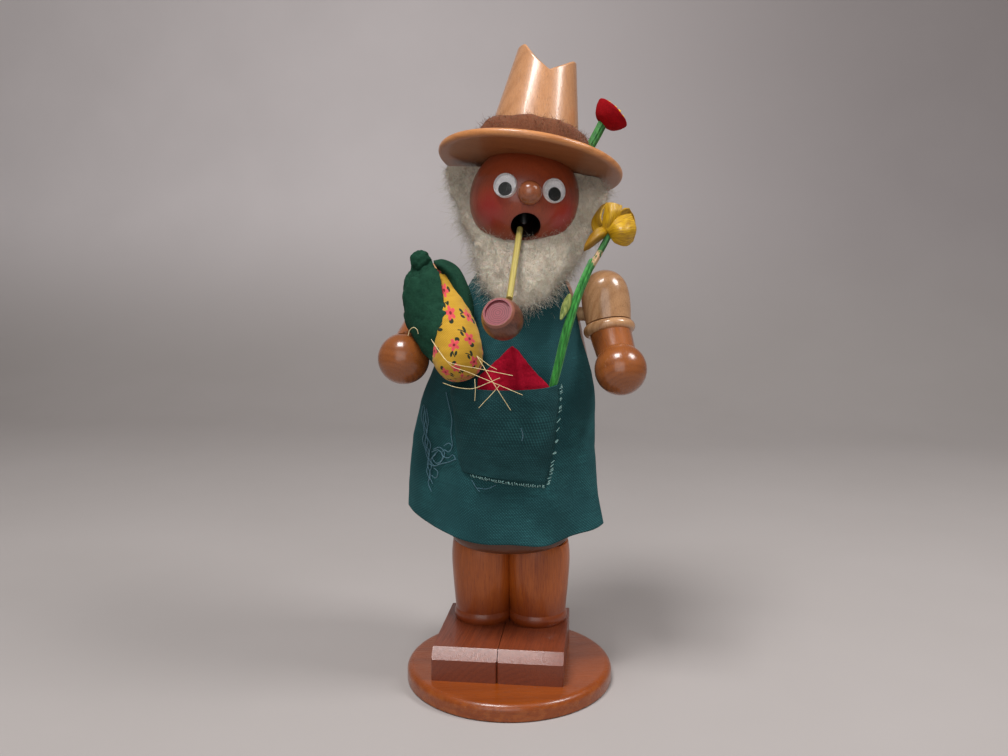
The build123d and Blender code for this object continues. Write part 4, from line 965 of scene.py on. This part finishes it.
# %% Printed calico
def calico(name):
    """Small flowers on yellow cotton: each jittered cell holds one, turned at random, with a bud and a stem.

    Petal edge = 1.15 + 1.25 |cos(2.5 a)|. The stem keeps |y - 0.16 (x - 1)^2 + 0.3| small; leaves are ovals.
    """
    made, tree, shader = new_material(name, Sheen_Weight=0.12, Specular_IOR_Level=0.2, Roughness=0.85)
    measure = measure_of(tree)
    threads = use_group(tree, weave, {"Vector": measure, "Thread": 0.34, "Slub": 0.4})
    ground = blend(tree, threads["Shade"], paint(166, 120, 26), paint(212, 168, 54))
    jittered = {"Vector": measure, "Scale": 0.118, "Randomness": 0.55}
    cell = put(tree, "TexVoronoi", jittered, voronoi_dimensions="2D")
    from_middle = {0: measure, 1: cell.outputs["Position"]}
    local = put(tree, "VectorMath", from_middle, operation="SUBTRACT").outputs[0]
    apart = parts_of(tree, local)
    away = put(tree, "VectorMath", {0: local}, operation="LENGTH").outputs["Value"]
    luck = put(tree, "SeparateColor", {0: cell.outputs["Color"]}).outputs
    turn = maths(tree, "MULTIPLY_ADD", luck[1], 6.28, maths(tree, "ARCTAN2", apart["Y"], apart["X"]))
    x = maths(tree, "MULTIPLY", away, maths(tree, "COSINE", turn))
    y = maths(tree, "MULTIPLY", away, maths(tree, "SINE", turn))

    def squared(value, centre, half):
        """((value - centre) / half)^2, for either sign."""
        size = maths(tree, "ABSOLUTE", maths(tree, "MULTIPLY_ADD", value, 1 / half, -centre / half))
        return maths(tree, "POWER", size, 2.0)

    def oval(centre_x, centre_y, half_x, half_y):
        """1 inside an oval of these half widths, falling softly to 0 at its edge."""
        reach = maths(tree, "ADD", squared(x, centre_x, half_x), squared(y, centre_y, half_y))
        return ramp(tree, reach, 1.25, 0.8)

    petals = maths(tree, "ABSOLUTE", maths(tree, "COSINE", maths(tree, "MULTIPLY", turn, 2.5)))
    edge = maths(tree, "MULTIPLY_ADD", petals, 1.25, 1.15)
    bloom = ramp(tree, maths(tree, "SUBTRACT", edge, away), 0.0, 0.18)
    bow = maths(tree, "POWER", maths(tree, "ABSOLUTE", maths(tree, "SUBTRACT", x, 1.0)), 2.0)
    off = maths(tree, "ABSOLUTE", maths(tree, "MULTIPLY_ADD", bow, -0.16, maths(tree, "ADD", y, 0.3)))
    stalk = maths(tree, "MULTIPLY", ramp(tree, off, 0.34, 0.18), ramp(tree, x, 1.4, 1.7))
    stalk = maths(tree, "MULTIPLY", stalk, ramp(tree, x, 5.0, 4.7))
    leaves = maths(tree, "MAXIMUM", oval(3.6, -0.25, 1.05, 0.5), oval(2.9, 1.5, 0.95, 0.5))
    leaves = maths(tree, "MAXIMUM", maths(tree, "MAXIMUM", leaves, stalk), oval(-2.3, 0.7, 0.8, 0.95))
    heart = ramp(tree, away, 0.62, 0.42)
    tone = blend(tree, leaves, ground, paint(36, 46, 32))
    tone = blend(tree, bloom, tone, paint(214, 78, 84))
    tone = blend(tree, heart, tone, paint(120, 36, 40))
    feed(tree, shader, threads["Height"], 0.00005, Base_Color=tone)
    return made


corn.data.materials.append(calico("corn calico"))

# %% [markdown]
# The husk leaves are green felt. The outer one is half a pod that cups the
# cob's side: a turned profile, opened towards the cob. The inner one is a short
# twisted strip, drawn through a small net of points. A knob of the same felt
# sits where both meet.

# %% Outer husk leaf and knob
pod_place = place_along(carry(trunk, corn_foot + np.array([-7.2, 2.0, 2.0])),
                        trunk[:3, :3] @ (corn_tip - corn_foot), trunk[:3, 0])
pod_rows = np.array([(-6.5, 0.8), (-4.0, 4.0), (4.0, 8.4), (14.0, 10.9), (23.0, 11.0), (30.0, 9.6),
                     (36.0, 6.6), (39.5, 4.4)])


def husk_surface(turn, row):
    """Outer husk: a half pod, r = profile(row) (1 + lumps), opened towards the corn."""
    rows = smooth_through(pod_rows, 120)
    height = np.interp(row, np.linspace(0, 1, 120), rows[:, 0])
    radius = np.interp(row, np.linspace(0, 1, 120), rows[:, 1])
    points = np.stack([radius * np.cos(turn), radius * np.sin(turn), height], axis=-1)
    return points * (1 + 0.06 * soft_field(points, 13.0, 21))[..., None]


turn, row = np.meshgrid(np.radians(np.linspace(112, 300, 81)), np.linspace(0, 1, 91), indexing="xy")
husk = surface("husk_outer_felt", carry(pod_place, husk_surface(turn, row)), span=(34.0, 44.0))
thicken(husk, "felt thickness", 1.6, 0.0)
green_felt = felt("green felt", paint(10, 36, 28), paint(38, 80, 60), tuft=1100.0)
husk.data.materials.append(green_felt)
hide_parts("corn_husk_outer")


def ball_grid(rows=40, columns=48):
    """Unit ball as a grid: (sin f cos a, sin f sin a, -cos f)."""
    fall, a = np.meshgrid(np.linspace(0, np.pi, rows), ring(columns), indexing="ij")
    return np.stack([np.sin(fall) * np.cos(a), np.sin(fall) * np.sin(a), -np.cos(fall)], axis=-1)


knob_points = ball_grid() * (4.1, 3.3, 4.2)
knob_points *= (1 + 0.10 * soft_field(knob_points, 5.5, 23))[..., None]
knob_middle = np.array([-35.6, -12.5, 182.6])
knob = surface("husk_knob_felt", knob_middle + knob_points @ trunk[:3, :3].T, closed=True, span=(26.0, 14.0),
               solid=True)
knob.data.materials.append(green_felt)

# %% Inner husk leaf
def netted(rows, count_along, count_across):
    """Smooth surface through a small net of points given row by row: down its columns, then across."""
    down = smooth_through(np.array(rows, float), count_along)
    return np.swapaxes(smooth_through(np.swapaxes(down, 0, 1), count_across), 0, 1)


inner_net = [
    [(-30.0, -13.0, 182.0), (-28.7, -15.0, 181.2), (-27.9, -13.0, 179.6)],
    [(-26.0, -12.0, 182.5), (-24.2, -17.0, 179.6), (-23.8, -15.0, 176.3)],
    [(-20.7, -11.0, 179.6), (-19.7, -17.0, 174.8), (-20.6, -17.0, 170.3)],
    [(-17.0, -11.0, 173.0), (-17.3, -17.0, 168.7), (-19.4, -17.0, 164.6)],
    [(-14.4, -11.5, 165.2), (-15.3, -16.5, 162.6), (-17.5, -16.0, 159.2)],
    [(-13.7, -14.0, 157.9), (-14.3, -15.5, 157.6), (-15.2, -15.0, 156.7)],
]
inner_leaf = surface("husk_inner_felt", netted(inner_net, 61, 31), span=(9.0, 30.0))
thicken(inner_leaf, "felt thickness", 1.4, 0.0)
inner_leaf.data.materials.append(green_felt)
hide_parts("corn_husk_inner")

# %% [markdown]
# The beard and the hair are tufts of sheep's wool. A soft lumpy body carries
# the mass, and thousands of thin curled fibres stand off its skin, so the
# outline is fuzzy as it is on the real piece.

# %% Beard body
BRIM_UNDERSIDE, SKIN_RADIUS = -2.2, HEAD_RADIUS - 0.6


def under_brim(points):
    """Keeps points below the brim: in the hat's place, z is at most the underside's."""
    local = (np.asarray(points) - hat[:3, 3]) @ hat[:3, :3]
    local[..., 2] = np.minimum(local[..., 2], BRIM_UNDERSIDE)
    return carry(hat, local)


beard_rows = np.array([
    # height, out, back, half width, half depth, from the head's middle
    (14.0, -2.0, 5.0, 34.0, 6.0),
    (10.0, -1.6, 5.0, 34.5, 8.0),
    (5.0, 0.6, 4.0, 34.5, 9.0),
    (-3.0, 2.2, 2.0, 32.0, 10.0),
    (-11.0, 2.4, 0.0, 28.5, 11.0),
    (-20.0, 2.8, -6.0, 24.0, 13.0),
    (-30.0, 2.0, -15.0, 19.5, 12.0),
    (-38.5, 1.6, -22.5, 13.0, 8.5),
    (-43.5, 1.4, -27.0, 6.5, 4.5),
    (-45.5, 1.2, -28.0, 0.5, 0.4),
])


def beard_surface(turn, row):
    """Oval rings stacked from ear to tip: p = middle + (w cos a, d sin a), swollen by lumps."""
    rows = smooth_through(beard_rows, 200)
    up, out, back, half, deep = [np.interp(row, np.linspace(0, 1, 200), rows[:, k]) for k in range(5)]
    points = np.stack([out + half * np.cos(turn), back + deep * np.sin(turn), up + HEAD_RISE], axis=-1)
    outward = np.stack([np.cos(turn), np.sin(turn), 0 * turn], axis=-1)
    points += 0.7 * soft_field(points, 15.0, 31)[..., None] * outward
    return points


turn, row = np.meshgrid(ring(160), np.linspace(0, 1, 150), indexing="xy")
beard_points = under_brim(carry(trunk, closed_ends(beard_surface(turn, row))))
outside_head = np.linalg.norm(beard_points - head[:3, 3], axis=-1) > SKIN_RADIUS
beard = surface("beard_wool", beard_points, closed=True, span=(160.0, 60.0), solid=True, keep=outside_head)


# %% Fleece finish
def wool(name, dark, light, sheen=0.5, lock_share=0.6):
    """Fleece: long noise along the fall of the fibres for locks, fine noise for single fibres."""
    made, tree, shader = new_material(name, Sheen_Weight=sheen, Sheen_Roughness=0.4, Specular_IOR_Level=0.2,
                                      Roughness=0.85, Subsurface_Weight=0.2, Subsurface_Scale=0.003)
    spot = spot_of(tree)
    locks = noise(tree, stretched(tree, spot, (1.0, 1.0, 0.35)), 190.0, 4.0, 0.6)
    single = noise(tree, stretched(tree, spot, (1.0, 1.0, 0.22)), 1500.0, 3.0, 0.7)
    strands = maths(tree, "MULTIPLY", single, 0.5)
    share = maths(tree, "MULTIPLY_ADD", locks, lock_share, strands, clamp=True)
    height = maths(tree, "MULTIPLY_ADD", single, 0.4, locks)
    feed(tree, shader, height, 0.0008, Base_Color=blend(tree, share, dark, light))
    return made


fleece = wool("sheep wool", paint(150, 137, 117), paint(222, 212, 196))
beard.data.materials.append(fleece)
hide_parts("beard")

# %% Hair behind the head
hair_points = ball_grid(70, 90) * (31.0, 18.5, 19.5)
hair_points *= (1 + 0.05 * soft_field(hair_points, 16.0, 41))[..., None]
hair_points = under_brim(head[:3, 3] + (hair_points + (1.0, 13.5, -1.5)) @ trunk[:3, :3].T)
outside_head = np.linalg.norm(hair_points - head[:3, 3], axis=-1) > SKIN_RADIUS
hair = surface("hair_wool", hair_points, closed=True, span=(160.0, 60.0), solid=True, keep=outside_head)
hair.data.materials.append(fleece)
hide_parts("hair")

# %% Loose wool fibres
def fibres_on(points, count, seed, length, fall, width=0.16, where=None):
    """Thin curled ribbons standing on a grid of skin points.

    p(t) = root + L (t (n + 0.5 noise) + t^2 fall) + a curl of two sines; its width
    shrinks from the root to the tip. Roots are drawn at random from the skin,
    by area, and only where the mask where is true.
    """
    rng = np.random.default_rng(seed)
    rows, columns = points.shape[:2]
    down, round_it = np.gradient(points, axis=0), np.roll(points, -1, axis=1) - points
    normal = np.cross(round_it, down)
    area = np.linalg.norm(normal, axis=-1)
    centre = points.mean(axis=(0, 1))
    normal *= np.sign(((points - centre) * normal).sum(-1))[..., None] / np.maximum(area, 1e-9)[..., None]
    share = area * (1.0 if where is None else where)
    chosen = rng.choice(rows * columns, count, p=(share / share.sum()).ravel())
    root = points.reshape(-1, 3)[chosen] + rng.normal(0, 0.25, (count, 3))
    lift = 0.8 * normal.reshape(-1, 3)[chosen] + 0.75 * rng.normal(size=(count, 3))
    reach = (length * rng.uniform(0.45, 1.25, count))[:, None, None]
    t = np.linspace(0, 1, 6)[None, :, None]
    line = root[:, None] - 0.4 * lift[:, None] + reach * (t * lift[:, None] + t**2 * np.asarray(fall))
    curl = rng.normal(size=(2, count, 1, 3)) * 0.2 * length
    line += curl[0] * np.sin(np.pi * 1.3 * t + rng.uniform(0, 6, (count, 1, 1))) * t
    line += curl[1] * np.sin(np.pi * 2.9 * t + rng.uniform(0, 6, (count, 1, 1))) * t * 0.6
    side = np.cross(np.gradient(line, axis=1), rng.normal(size=(count, 1, 3)))
    side /= np.linalg.norm(side, axis=-1, keepdims=True)
    half = 0.5 * width * (1 - 0.75 * t)
    return np.stack([line - side * half, line + side * half], axis=2)


skin = beard_points[4:-4]
tuft_points = fibres_on(skin, 16000, 51, 3.4, (0.0, 0.0, -0.3), width=0.13,
                        where=np.linalg.norm(skin - head[:3, 3], axis=-1) > HEAD_RADIUS - 0.4)
tufts = surface("beard_fibres", under_brim(tuft_points), span=(0.3, 6.0))
tufts.data.materials.append(fleece)
skin = hair_points[4:-4]
lock_points = fibres_on(skin, 5000, 52, 4.0, (0.0, 0.1, -0.6),
                        where=np.linalg.norm(skin - head[:3, 3], axis=-1) > HEAD_RADIUS)
locks = surface("hair_fibres", under_brim(lock_points), span=(0.3, 6.0))
locks.data.materials.append(fleece)

# %% [markdown]
# The hat band is a loose roll of brown felted wool. A red flower on a ribbed
# green stem is tucked into it on the figure's left.

# %% Hat band
BAND_RISE, BAND_HALF_RISE, BAND_HALF_DEPTH, BAND_CLEAR = 6.4, 6.2, 2.9, 1.7
BAND_FOOT, BAND_SLOPE, BRIM_TOP = 21.6, 0.17, 0.12
a, b = np.meshgrid(ring(220), ring(30), indexing="ij")
roll_seed = np.stack([24 * np.cos(a), 24 * np.sin(a), 3 * np.sin(b)], axis=-1)
swell = 1 + 0.09 * soft_field(roll_seed, 19.0, 61) + 0.015 * np.sin(3 * b + 22 * a)
up = BAND_RISE + BAND_HALF_RISE * np.sin(b) * swell
out = BAND_FOOT - BAND_SLOPE * up + BAND_CLEAR + BAND_HALF_DEPTH * np.cos(b) * swell
band_points = carry(hat_top, np.stack([out * np.cos(a), out * np.sin(a), np.maximum(up, BRIM_TOP)], axis=-1))
band_points = np.concatenate([band_points, band_points[:1]])
band = surface("band_wool", band_points, closed=True, span=(20.0, 150.0), solid=True)
brown_wool = wool("brown wool", paint(72, 36, 20), paint(136, 84, 56), sheen=0.08, lock_share=0.5)
band.data.materials.append(brown_wool)
fluff_points = fibres_on(band_points, 5000, 53, 1.7, (0.0, 0.0, 0.0), width=0.12)
band_fluff = surface("band_fibres", fluff_points, span=(0.3, 2.0))
band_fluff.data.materials.append(brown_wool)
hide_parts("hat_band")

# %% Red flower in the band
red_foot = hat_top @ place((23.1, 0, 6.2), tilt_y=21.1)
red_cup = red_foot @ place((0, 0, 15.0), tilt_y=15.0)


def ribbed(path, radius, ribs, count=64, depth=0.07, hint=(0.2, 0.1, 1.0), flat=1.0):
    """Tube whose skin waves ribs times round: r = radius (1 + depth cos(ribs a))."""
    path = np.asarray(path, float)
    points = tube(path, 1.0, count, hint, flat)
    wave = radius * (1 + depth * np.cos(ribs * ring(count)))
    return path[:, None] + (points - path[:, None]) * wave[None, :, None]


def green(name, dark, light, scale=700.0, patch=None, rough=0.5):
    """Dyed fibre or shaving: long streaks between two greens, with an optional peeled patch."""
    made, tree, shader = new_material(name, Specular_IOR_Level=0.35, Sheen_Weight=0.15)
    spot = spot_of(tree)
    streak = noise(tree, stretched(tree, spot, (1.0, 1.0, 0.12)), scale, 4.0, 0.65)
    tone = blend(tree, ramp(tree, streak, 0.3, 0.7), dark, light)
    if patch is not None:
        tone = patch(tree, spot, tone)
    gloss = maths(tree, "MULTIPLY_ADD", streak, 0.3, rough - 0.15)
    feed(tree, shader, streak, 0.0002, Base_Color=tone, Roughness=gloss)
    return made


sway = np.linspace(0, 3, 40)
stem_line = carry(red_foot, np.stack([0.35 * np.sin(sway), 0 * sway, np.linspace(-3, 15.2, 40)], axis=-1))
red_stem = surface("red_flower_stem", closed_ends(ribbed(stem_line, radius=1.95, ribs=9)), closed=True,
                   span=(12.0, 18.0), solid=True)
red_stem.data.materials.append(green("stem cord", paint(22, 84, 34), paint(66, 142, 62), 900.0))
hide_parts("hat_flower_stem")

cup_rows = smooth_through([(0.02, -0.5), (2.6, -0.2), (5.2, 1.1), (7.0, 3.2), (8.0, 5.4), (8.2, 6.6),
                           (7.7, 7.0), (7.1, 6.6), (6.6, 5.4), (0.02, 5.0)], 90)
cup_points = turned(red_cup, cup_rows, 90)
cup_points += 0.06 * soft_field(cup_points, 5.0, 71)[..., None]
cup = surface("red_flower_cup", cup_points, closed=True, span=(50.0, 20.0), solid=True)
cup.data.materials.append(felt("cup red", paint(104, 4, 12), paint(168, 16, 26), tuft=1500.0, depth=0.0001))
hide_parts("hat_flower_head")

centre_rows = smooth_through([(7.2, 5.6), (7.1, 6.7), (6.2, 7.4), (3.5, 7.9), (0.02, 8.1)], 40)
centre_points = turned(red_cup, centre_rows, 90)
centre_points += 0.35 * soft_field(centre_points, 2.4, 72)[..., None] * red_cup[:3, 2]
heart = surface("red_flower_heart", centre_points, closed=True, span=(44.0, 8.0), solid=True)
heart.data.materials.append(felt("heart yellow", paint(196, 140, 24), paint(244, 206, 60), tuft=1500.0))
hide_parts("hat_flower_centre")

# %% [markdown]
# The flower in the pocket is made of shavings: a ribbed sheath leaf, a thin
# stem whose dye has flaked off in one place, five curled petals and a small
# side leaf glued to the sheath.

# %% Sheath leaf
sheath_route = smooth_through([(16.6, -31.6, 62.0), (19.6, -32.2, 77.5), (22.4, -31.4, 92.3),
                               (25.8, -28.2, 105.5), (30.1, -23.5, 117.6), (31.2, -22.2, 120.6)], 160)
sheath_line = carry(trunk, sheath_route)
sheath_points = ribbed(sheath_line, 2.05, 7, 84, 0.10, hint=(1.0, 0.0, 0.2), flat=0.78)
place_on = np.linspace(0, 1, 160)[:, None]
jag = 3.2 * np.abs(np.sin(1.5 * ring(84) + 0.6)) ** 1.5
sheath_points -= (np.clip((place_on - 0.93) / 0.07, 0, 1) * jag)[..., None] * trunk[:3, 2]
sheath_points = sheath_line[:, None] + (sheath_points - sheath_line[:, None]) * (
    0.72 + 0.36 * np.sin(np.pi * np.clip(place_on * 0.9 + 0.12, 0, 1)) ** 0.7)[..., None]
sheath = surface("sheath_leaf", closed_ends(sheath_points), closed=True, span=(12.0, 60.0), solid=True)
sheath.data.materials.append(green("sheath green", paint(16, 92, 28), paint(58, 152, 56), 800.0, rough=0.42))
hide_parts("flower_leaf")

# %% Thin stem
stem_low, stem_high = carry(trunk, (28.6, -25.2, 113.6)), carry(trunk, (37.5, -20.5, 131.7))
bow = np.sin(np.pi * np.linspace(0, 1, 60))[:, None] * (0.5, 0.0, 0.4)
stem_line = stem_low + np.linspace(0, 1.02, 60)[:, None] * (stem_high - stem_low) + bow


def flaked(tree, spot, base):
    """Bare wood where the dye came off, half way up and on the near side."""
    middle = stem_low + 0.42 * (stem_high - stem_low) + np.array([0.6, -1.0, -0.2])
    bare = ball_share(tree, spot, middle, 2.6, 3.9)
    edge = ramp(tree, noise(tree, spot, 700.0), 0.36, 0.5)
    return blend(tree, maths(tree, "MULTIPLY", bare, edge), base, paint(206, 168, 128))


stem_points = ribbed(stem_line, radius=1.25, ribs=6, count=48, depth=0.08)
stem = surface("pocket_flower_stem", closed_ends(stem_points), closed=True, span=(8.0, 24.0), solid=True)
stem.data.materials.append(green("stem green", paint(22, 72, 32), paint(56, 124, 56), 900.0, patch=flaked))
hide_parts("flower_stem")

# %% Side leaf
def leaf_surface(base, across, along, length, width, way, side, out, curl):
    """Pointed leaf: p = base + way L t + side w u + out (curl t^2 - 2.2 u^2 w / width).

    Its half width is w = width sin(pi t^0.8)^0.8 / 2 + 0.05.
    """
    half = width * 0.5 * np.clip(np.sin(np.pi * np.clip(along, 0.0, 1.0) ** 0.8), 0, 1) ** 0.8 + 0.05
    bend = curl * along**2 - 1.1 * (across**2) * half / width * 2
    return (np.asarray(base) + way * (length * along)[..., None] + side * (half * across)[..., None]
            + out * bend[..., None])


across, along = np.meshgrid(np.linspace(-1, 1, 25), np.linspace(0, 1, 49), indexing="xy")
leaf_way = trunk[:3, :3] @ np.array([-0.28, -0.15, -0.95])
leaf_flat = trunk[:3, :3] @ np.array([0.94, -0.25, -0.24])
blade = leaf_surface(carry(trunk, (22.9, -31.0, 106.2)), across, along, 11.0, 2.9, leaf_way, leaf_flat,
                     trunk[:3, :3] @ np.array([0, -1.0, 0.1]), 1.6)
side_leaf = surface("side_leaf_blade", blade, span=(4.0, 10.0))
thicken(side_leaf, "leaf thickness", 0.7, 0.0)
side_leaf.data.materials.append(green("olive leaf", paint(74, 96, 34), paint(150, 158, 84), 900.0))
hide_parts("side_leaf")

# %% [markdown]
# The yellow head is five thin shavings that curled as they were cut. Each one
# is a net of four rows of three points, smoothed both ways.

# %% Curled petals
petal_nets = [
    [[(40.3, -6, 192.6), (41.1, -7, 194.2), (41.4, -5, 195.9)],
     [(37.0, -7, 190.1), (37.9, -9.5, 192.9), (39.0, -6, 196.2)],
     [(33.8, -7.5, 187.7), (34.7, -10, 190.5), (36.6, -7, 195.4)],
     [(31.4, -8, 186.5), (31.8, -9, 188.5), (33.8, -7, 192.6)]],
    [[(39.0, -6, 195.4), (41.1, -7.5, 194.6), (42.7, -6, 195.0)],
     [(39.0, -6, 199.1), (41.8, -9.5, 198.1), (45.0, -6, 198.6)],
     [(39.7, -6, 203.1), (42.6, -9, 202.1), (46.2, -6, 202.2)],
     [(40.1, -5, 205.9), (42.9, -6.5, 205.8), (46.6, -4, 204.8)]],
    [[(40.2, -8, 195.3), (41.5, -8, 193.7), (42.3, -7, 192.1)],
     [(43.0, -8, 198.9), (45.1, -12.5, 194.3), (44.3, -10, 189.6)],
     [(47.4, -6, 201.0), (49.0, -12, 194.7), (48.4, -9, 188.5)],
     [(50.3, -2, 201.6), (52.3, -7, 195.7), (51.2, -6, 190.5)]],
    [[(41.0, -4, 195.5), (42.3, -3, 195.5), (43.1, -2, 193.9)],
     [(44.2, -3, 200.4), (46.3, 0, 198.5), (47.6, 1, 194.8)],
     [(47.4, -2, 203.7), (50.0, 3, 201.1), (51.4, 3, 196.1)],
     [(49.5, 0, 204.2), (51.7, 3, 201.1), (52.6, 3, 197.0)]],
    [[(40.2, -4, 195.1), (39.0, -2, 195.6), (38.6, -2, 194.0)],
     [(38.1, -4, 199.6), (36.4, 0, 198.1), (35.2, 0, 194.4)],
     [(38.9, -2, 203.7), (36.4, 2, 202.3), (34.3, 2, 198.6)],
     [(40.5, 0, 205.9), (38.4, 3, 205.3), (35.9, 3, 202.0)]],
]
petal_points = np.stack([netted(net, 41, 31) for net in petal_nets])
petals = surface("petal_shavings", petal_points, span=(10.0, 13.0))
thicken(petals, "shaving thickness", 0.7, 0.0)


# %% Dyed shaving finish
def shaving_yellow():
    """Dyed shaving: lemon yellow with long fibres, brown in broad patches, and painted shade round the
    flower's middle.
    """
    made, tree, shader = new_material("shaving yellow", Specular_IOR_Level=0.35, Coat_Weight=0.12)
    measure = measure_of(tree)
    streak = noise(tree, stretched(tree, measure, (1.6, 0.12, 1.0)), 2.2, 4.0, 0.6)
    brown_patch = noise(tree, stretched(tree, measure, (0.5, 0.2, 1.0)), 0.55, 2.0)
    tone = blend(tree, ramp(tree, streak, 0.3, 0.7), paint(150, 105, 5), paint(206, 163, 24))
    tone = blend(tree, maths(tree, "MULTIPLY", ramp(tree, brown_patch, 0.58, 0.72), 0.6), tone, paint(128, 78, 20))
    spot = spot_of(tree)
    # Painted shade round the middle of the flower, where the petals meet.
    shaded = ball_share(tree, spot, np.array([34.0, -7.0, 189.5]), 4.0, 8.0)
    tone = blend(tree, maths(tree, "MULTIPLY", shaded, 0.7), tone, paint(134, 92, 22))
    gloss = maths(tree, "MULTIPLY_ADD", streak, 0.2, 0.32)
    feed(tree, shader, streak, 0.00015, Base_Color=tone, Roughness=gloss)
    return made


petals.data.materials.append(shaving_yellow())
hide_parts("flower_head")

# %% [markdown]
# Straw silk comes out from under the cob and crosses the bib and the pocket.
# Each straw is a thin tube through a few points, given in the row frame.

# %% Straw silk
STRAW_RADIUS = 0.12
straws = [
    [(-27.5, -31.0, 151.0), (-23.2, -35.3, 146.2), (-18.9, -37.2, 142.9), (-8.2, -37.5, 140.9),
     (5.3, -36.5, 138.2)],
    [(-27.8, -31.0, 151.6), (-23.6, -35.1, 147.0), (-18.5, -37.0, 141.7), (-11.3, -37.8, 139.2),
     (9.1, -35.5, 130.5)],
    [(-22.7, -34.0, 134.6), (-16.8, -36.0, 133.2), (-10.4, -36.5, 132.9), (-4.9, -36.5, 135.0),
     (0.2, -36.0, 137.2)],
    [(-9.3, -33.0, 145.4), (-6.2, -35.5, 141.3), (-3.2, -37.0, 136.8), (0.7, -37.0, 130.6),
     (4.4, -35.5, 124.4)],
    [(-9.7, -36.0, 136.6), (-9.5, -36.4, 134.0), (-9.4, -36.5, 132.4), (-9.8, -35.5, 127.9)],
    [(-9.3, -33.0, 145.4), (-5.5, -34.5, 142.8), (-3.4, -34.6, 141.4), (-1.2, -34.5, 140.3)],
    [(0.2, -36.0, 134.4), (-3.7, -36.2, 130.0), (-6.0, -35.8, 127.6), (-8.3, -35.0, 125.0)],
    [(-37.3, -30.5, 152.8), (-36.3, -31.5, 155.2), (-34.7, -32.0, 156.3), (-33.3, -32.0, 155.5),
     (-32.9, -31.5, 153.7)],
]
straw_points = np.stack([closed_ends(tube(smooth_through(line, 44), STRAW_RADIUS, 8, hint=(0.1, 1.0, 0.2)))
                         for line in straws])
silk = surface("straw_silk", straw_points, closed=True, span=(1.0, 30.0), solid=True)
silk.data.materials.append(green("straw", paint(218, 192, 132), paint(250, 234, 184), 1400.0, rough=0.4))
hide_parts("corn_silk")

# %% [markdown]

# %% [markdown]
# The photograph was taken on a pale sweep with two soft lamps, one above and a
# little to the left, one above to the right. A wide faint lamp in front stands
# for the light that a pale room gives back. The camera stands about 40 cm away
# at the height of the beard and looks 7 degrees down.

# %% Background sweep
FLOOR_SHARE, BEND_SHARE, BEND_RADIUS = 0.4, 0.25, 500.0
FLOOR_START, FLOOR_SCALE, WALL_SCALE, HALF_WIDTH = -1100.0, 4200.0, 5000.0, 1600.0
across, along = np.meshgrid(np.linspace(-HALF_WIDTH, HALF_WIDTH, 3), np.linspace(0, 1, 90), indexing="xy")
# Floor, a quarter round of the bend's radius, then the wall, by the share of the way along
bend = np.clip((along - FLOOR_SHARE) / BEND_SHARE, 0, 1) * np.pi / 2
depth = FLOOR_START + np.minimum(along, FLOOR_SHARE) * FLOOR_SCALE + BEND_RADIUS * np.sin(bend)
rise = BEND_RADIUS * (1 - np.cos(bend)) + np.clip(along - (FLOOR_SHARE + BEND_SHARE), 0, 1) * WALL_SCALE
backdrop = surface("backdrop", np.stack([across, depth, rise], axis=-1), span=(3200.0, 4200.0), body=None)
paper, tree, shader = new_material("backdrop paper painted light", Roughness=0.85, Specular_IOR_Level=0.2)
spot = spot_of(tree)
apart = parts_of(tree, spot)
# Painted light and shade: the wall is lighter on the left than on the right, and the floor is darker than
# the wall.
wall = blend(tree, ramp(tree, apart["X"], -0.4, 0.5), paint(226, 218, 218), paint(166, 158, 158))
tone = blend(tree, ramp(tree, apart["Z"], 0.02, 0.3), paint(168, 161, 158), wall)
cloud = noise(tree, spot, 9.0, 3.0)
tone = blend(tree, maths(tree, "MULTIPLY", cloud, 0.3), tone, paint(188, 181, 180))
feed(tree, shader, cloud, 0.0004, Base_Color=tone)
backdrop.data.materials.append(paper)


# %% Lamps
FIGURE_MIDDLE = np.array([2.0, 10.0, 140.0])


def lamp(name, away, wide, power):
    """Square area lamp, away from the figure's middle and facing it; lengths in mm, power in watts."""
    data = bpy.data.lights.new(name, "AREA")
    data.size, data.energy = wide * MM, power
    made = bpy.data.objects.new(name, data)
    bpy.context.scene.collection.objects.link(made)
    aim = place_along((FIGURE_MIDDLE + away) * MM, away, (1.0, 0.0, 0.001))
    made.matrix_world = Matrix(aim.tolist())
    print("lamp", name, power, "W")


lamp("top left soft box", (-190.0, -330.0, 900.0), wide=300.0, power=8.3)
lamp("top right soft box", (560.0, -80.0, 640.0), wide=260.0, power=3.9)
lamp("front fill", (-100.0, -1500.0, 500.0), wide=1200.0, power=7.5)
bpy.context.scene.view_settings.view_transform = "Standard"
world = bpy.data.worlds.new("soft room")
bpy.context.scene.world = world
world.use_nodes = True
world.node_tree.nodes["Background"].inputs["Color"].default_value = (0.9, 0.88, 0.86, 1.0)
world.node_tree.nodes["Background"].inputs["Strength"].default_value = 0.17

# %% Camera
LENS, SENSOR, LOOK_DOWN, LOOK_WAY = 32.57, 36.0, 7.0, (-0.1156, 0.9933)
view = bpy.data.cameras.new("camera")
view.lens, view.sensor_width = LENS, SENSOR
camera = bpy.data.objects.new("camera", view)
bpy.context.scene.collection.objects.link(camera)
camera.location = viewpoint * MM
camera.rotation_euler = (np.radians(90.0 - LOOK_DOWN), 0.0, np.arctan2(-LOOK_WAY[0], LOOK_WAY[1]))
bpy.context.scene.camera = camera
print("camera at", viewpoint, "mm")

# %% [markdown]
# At the end the sizes of the imported model and of the dressed one are written down.

# %% Sizes and the last line
low, high = cad_box
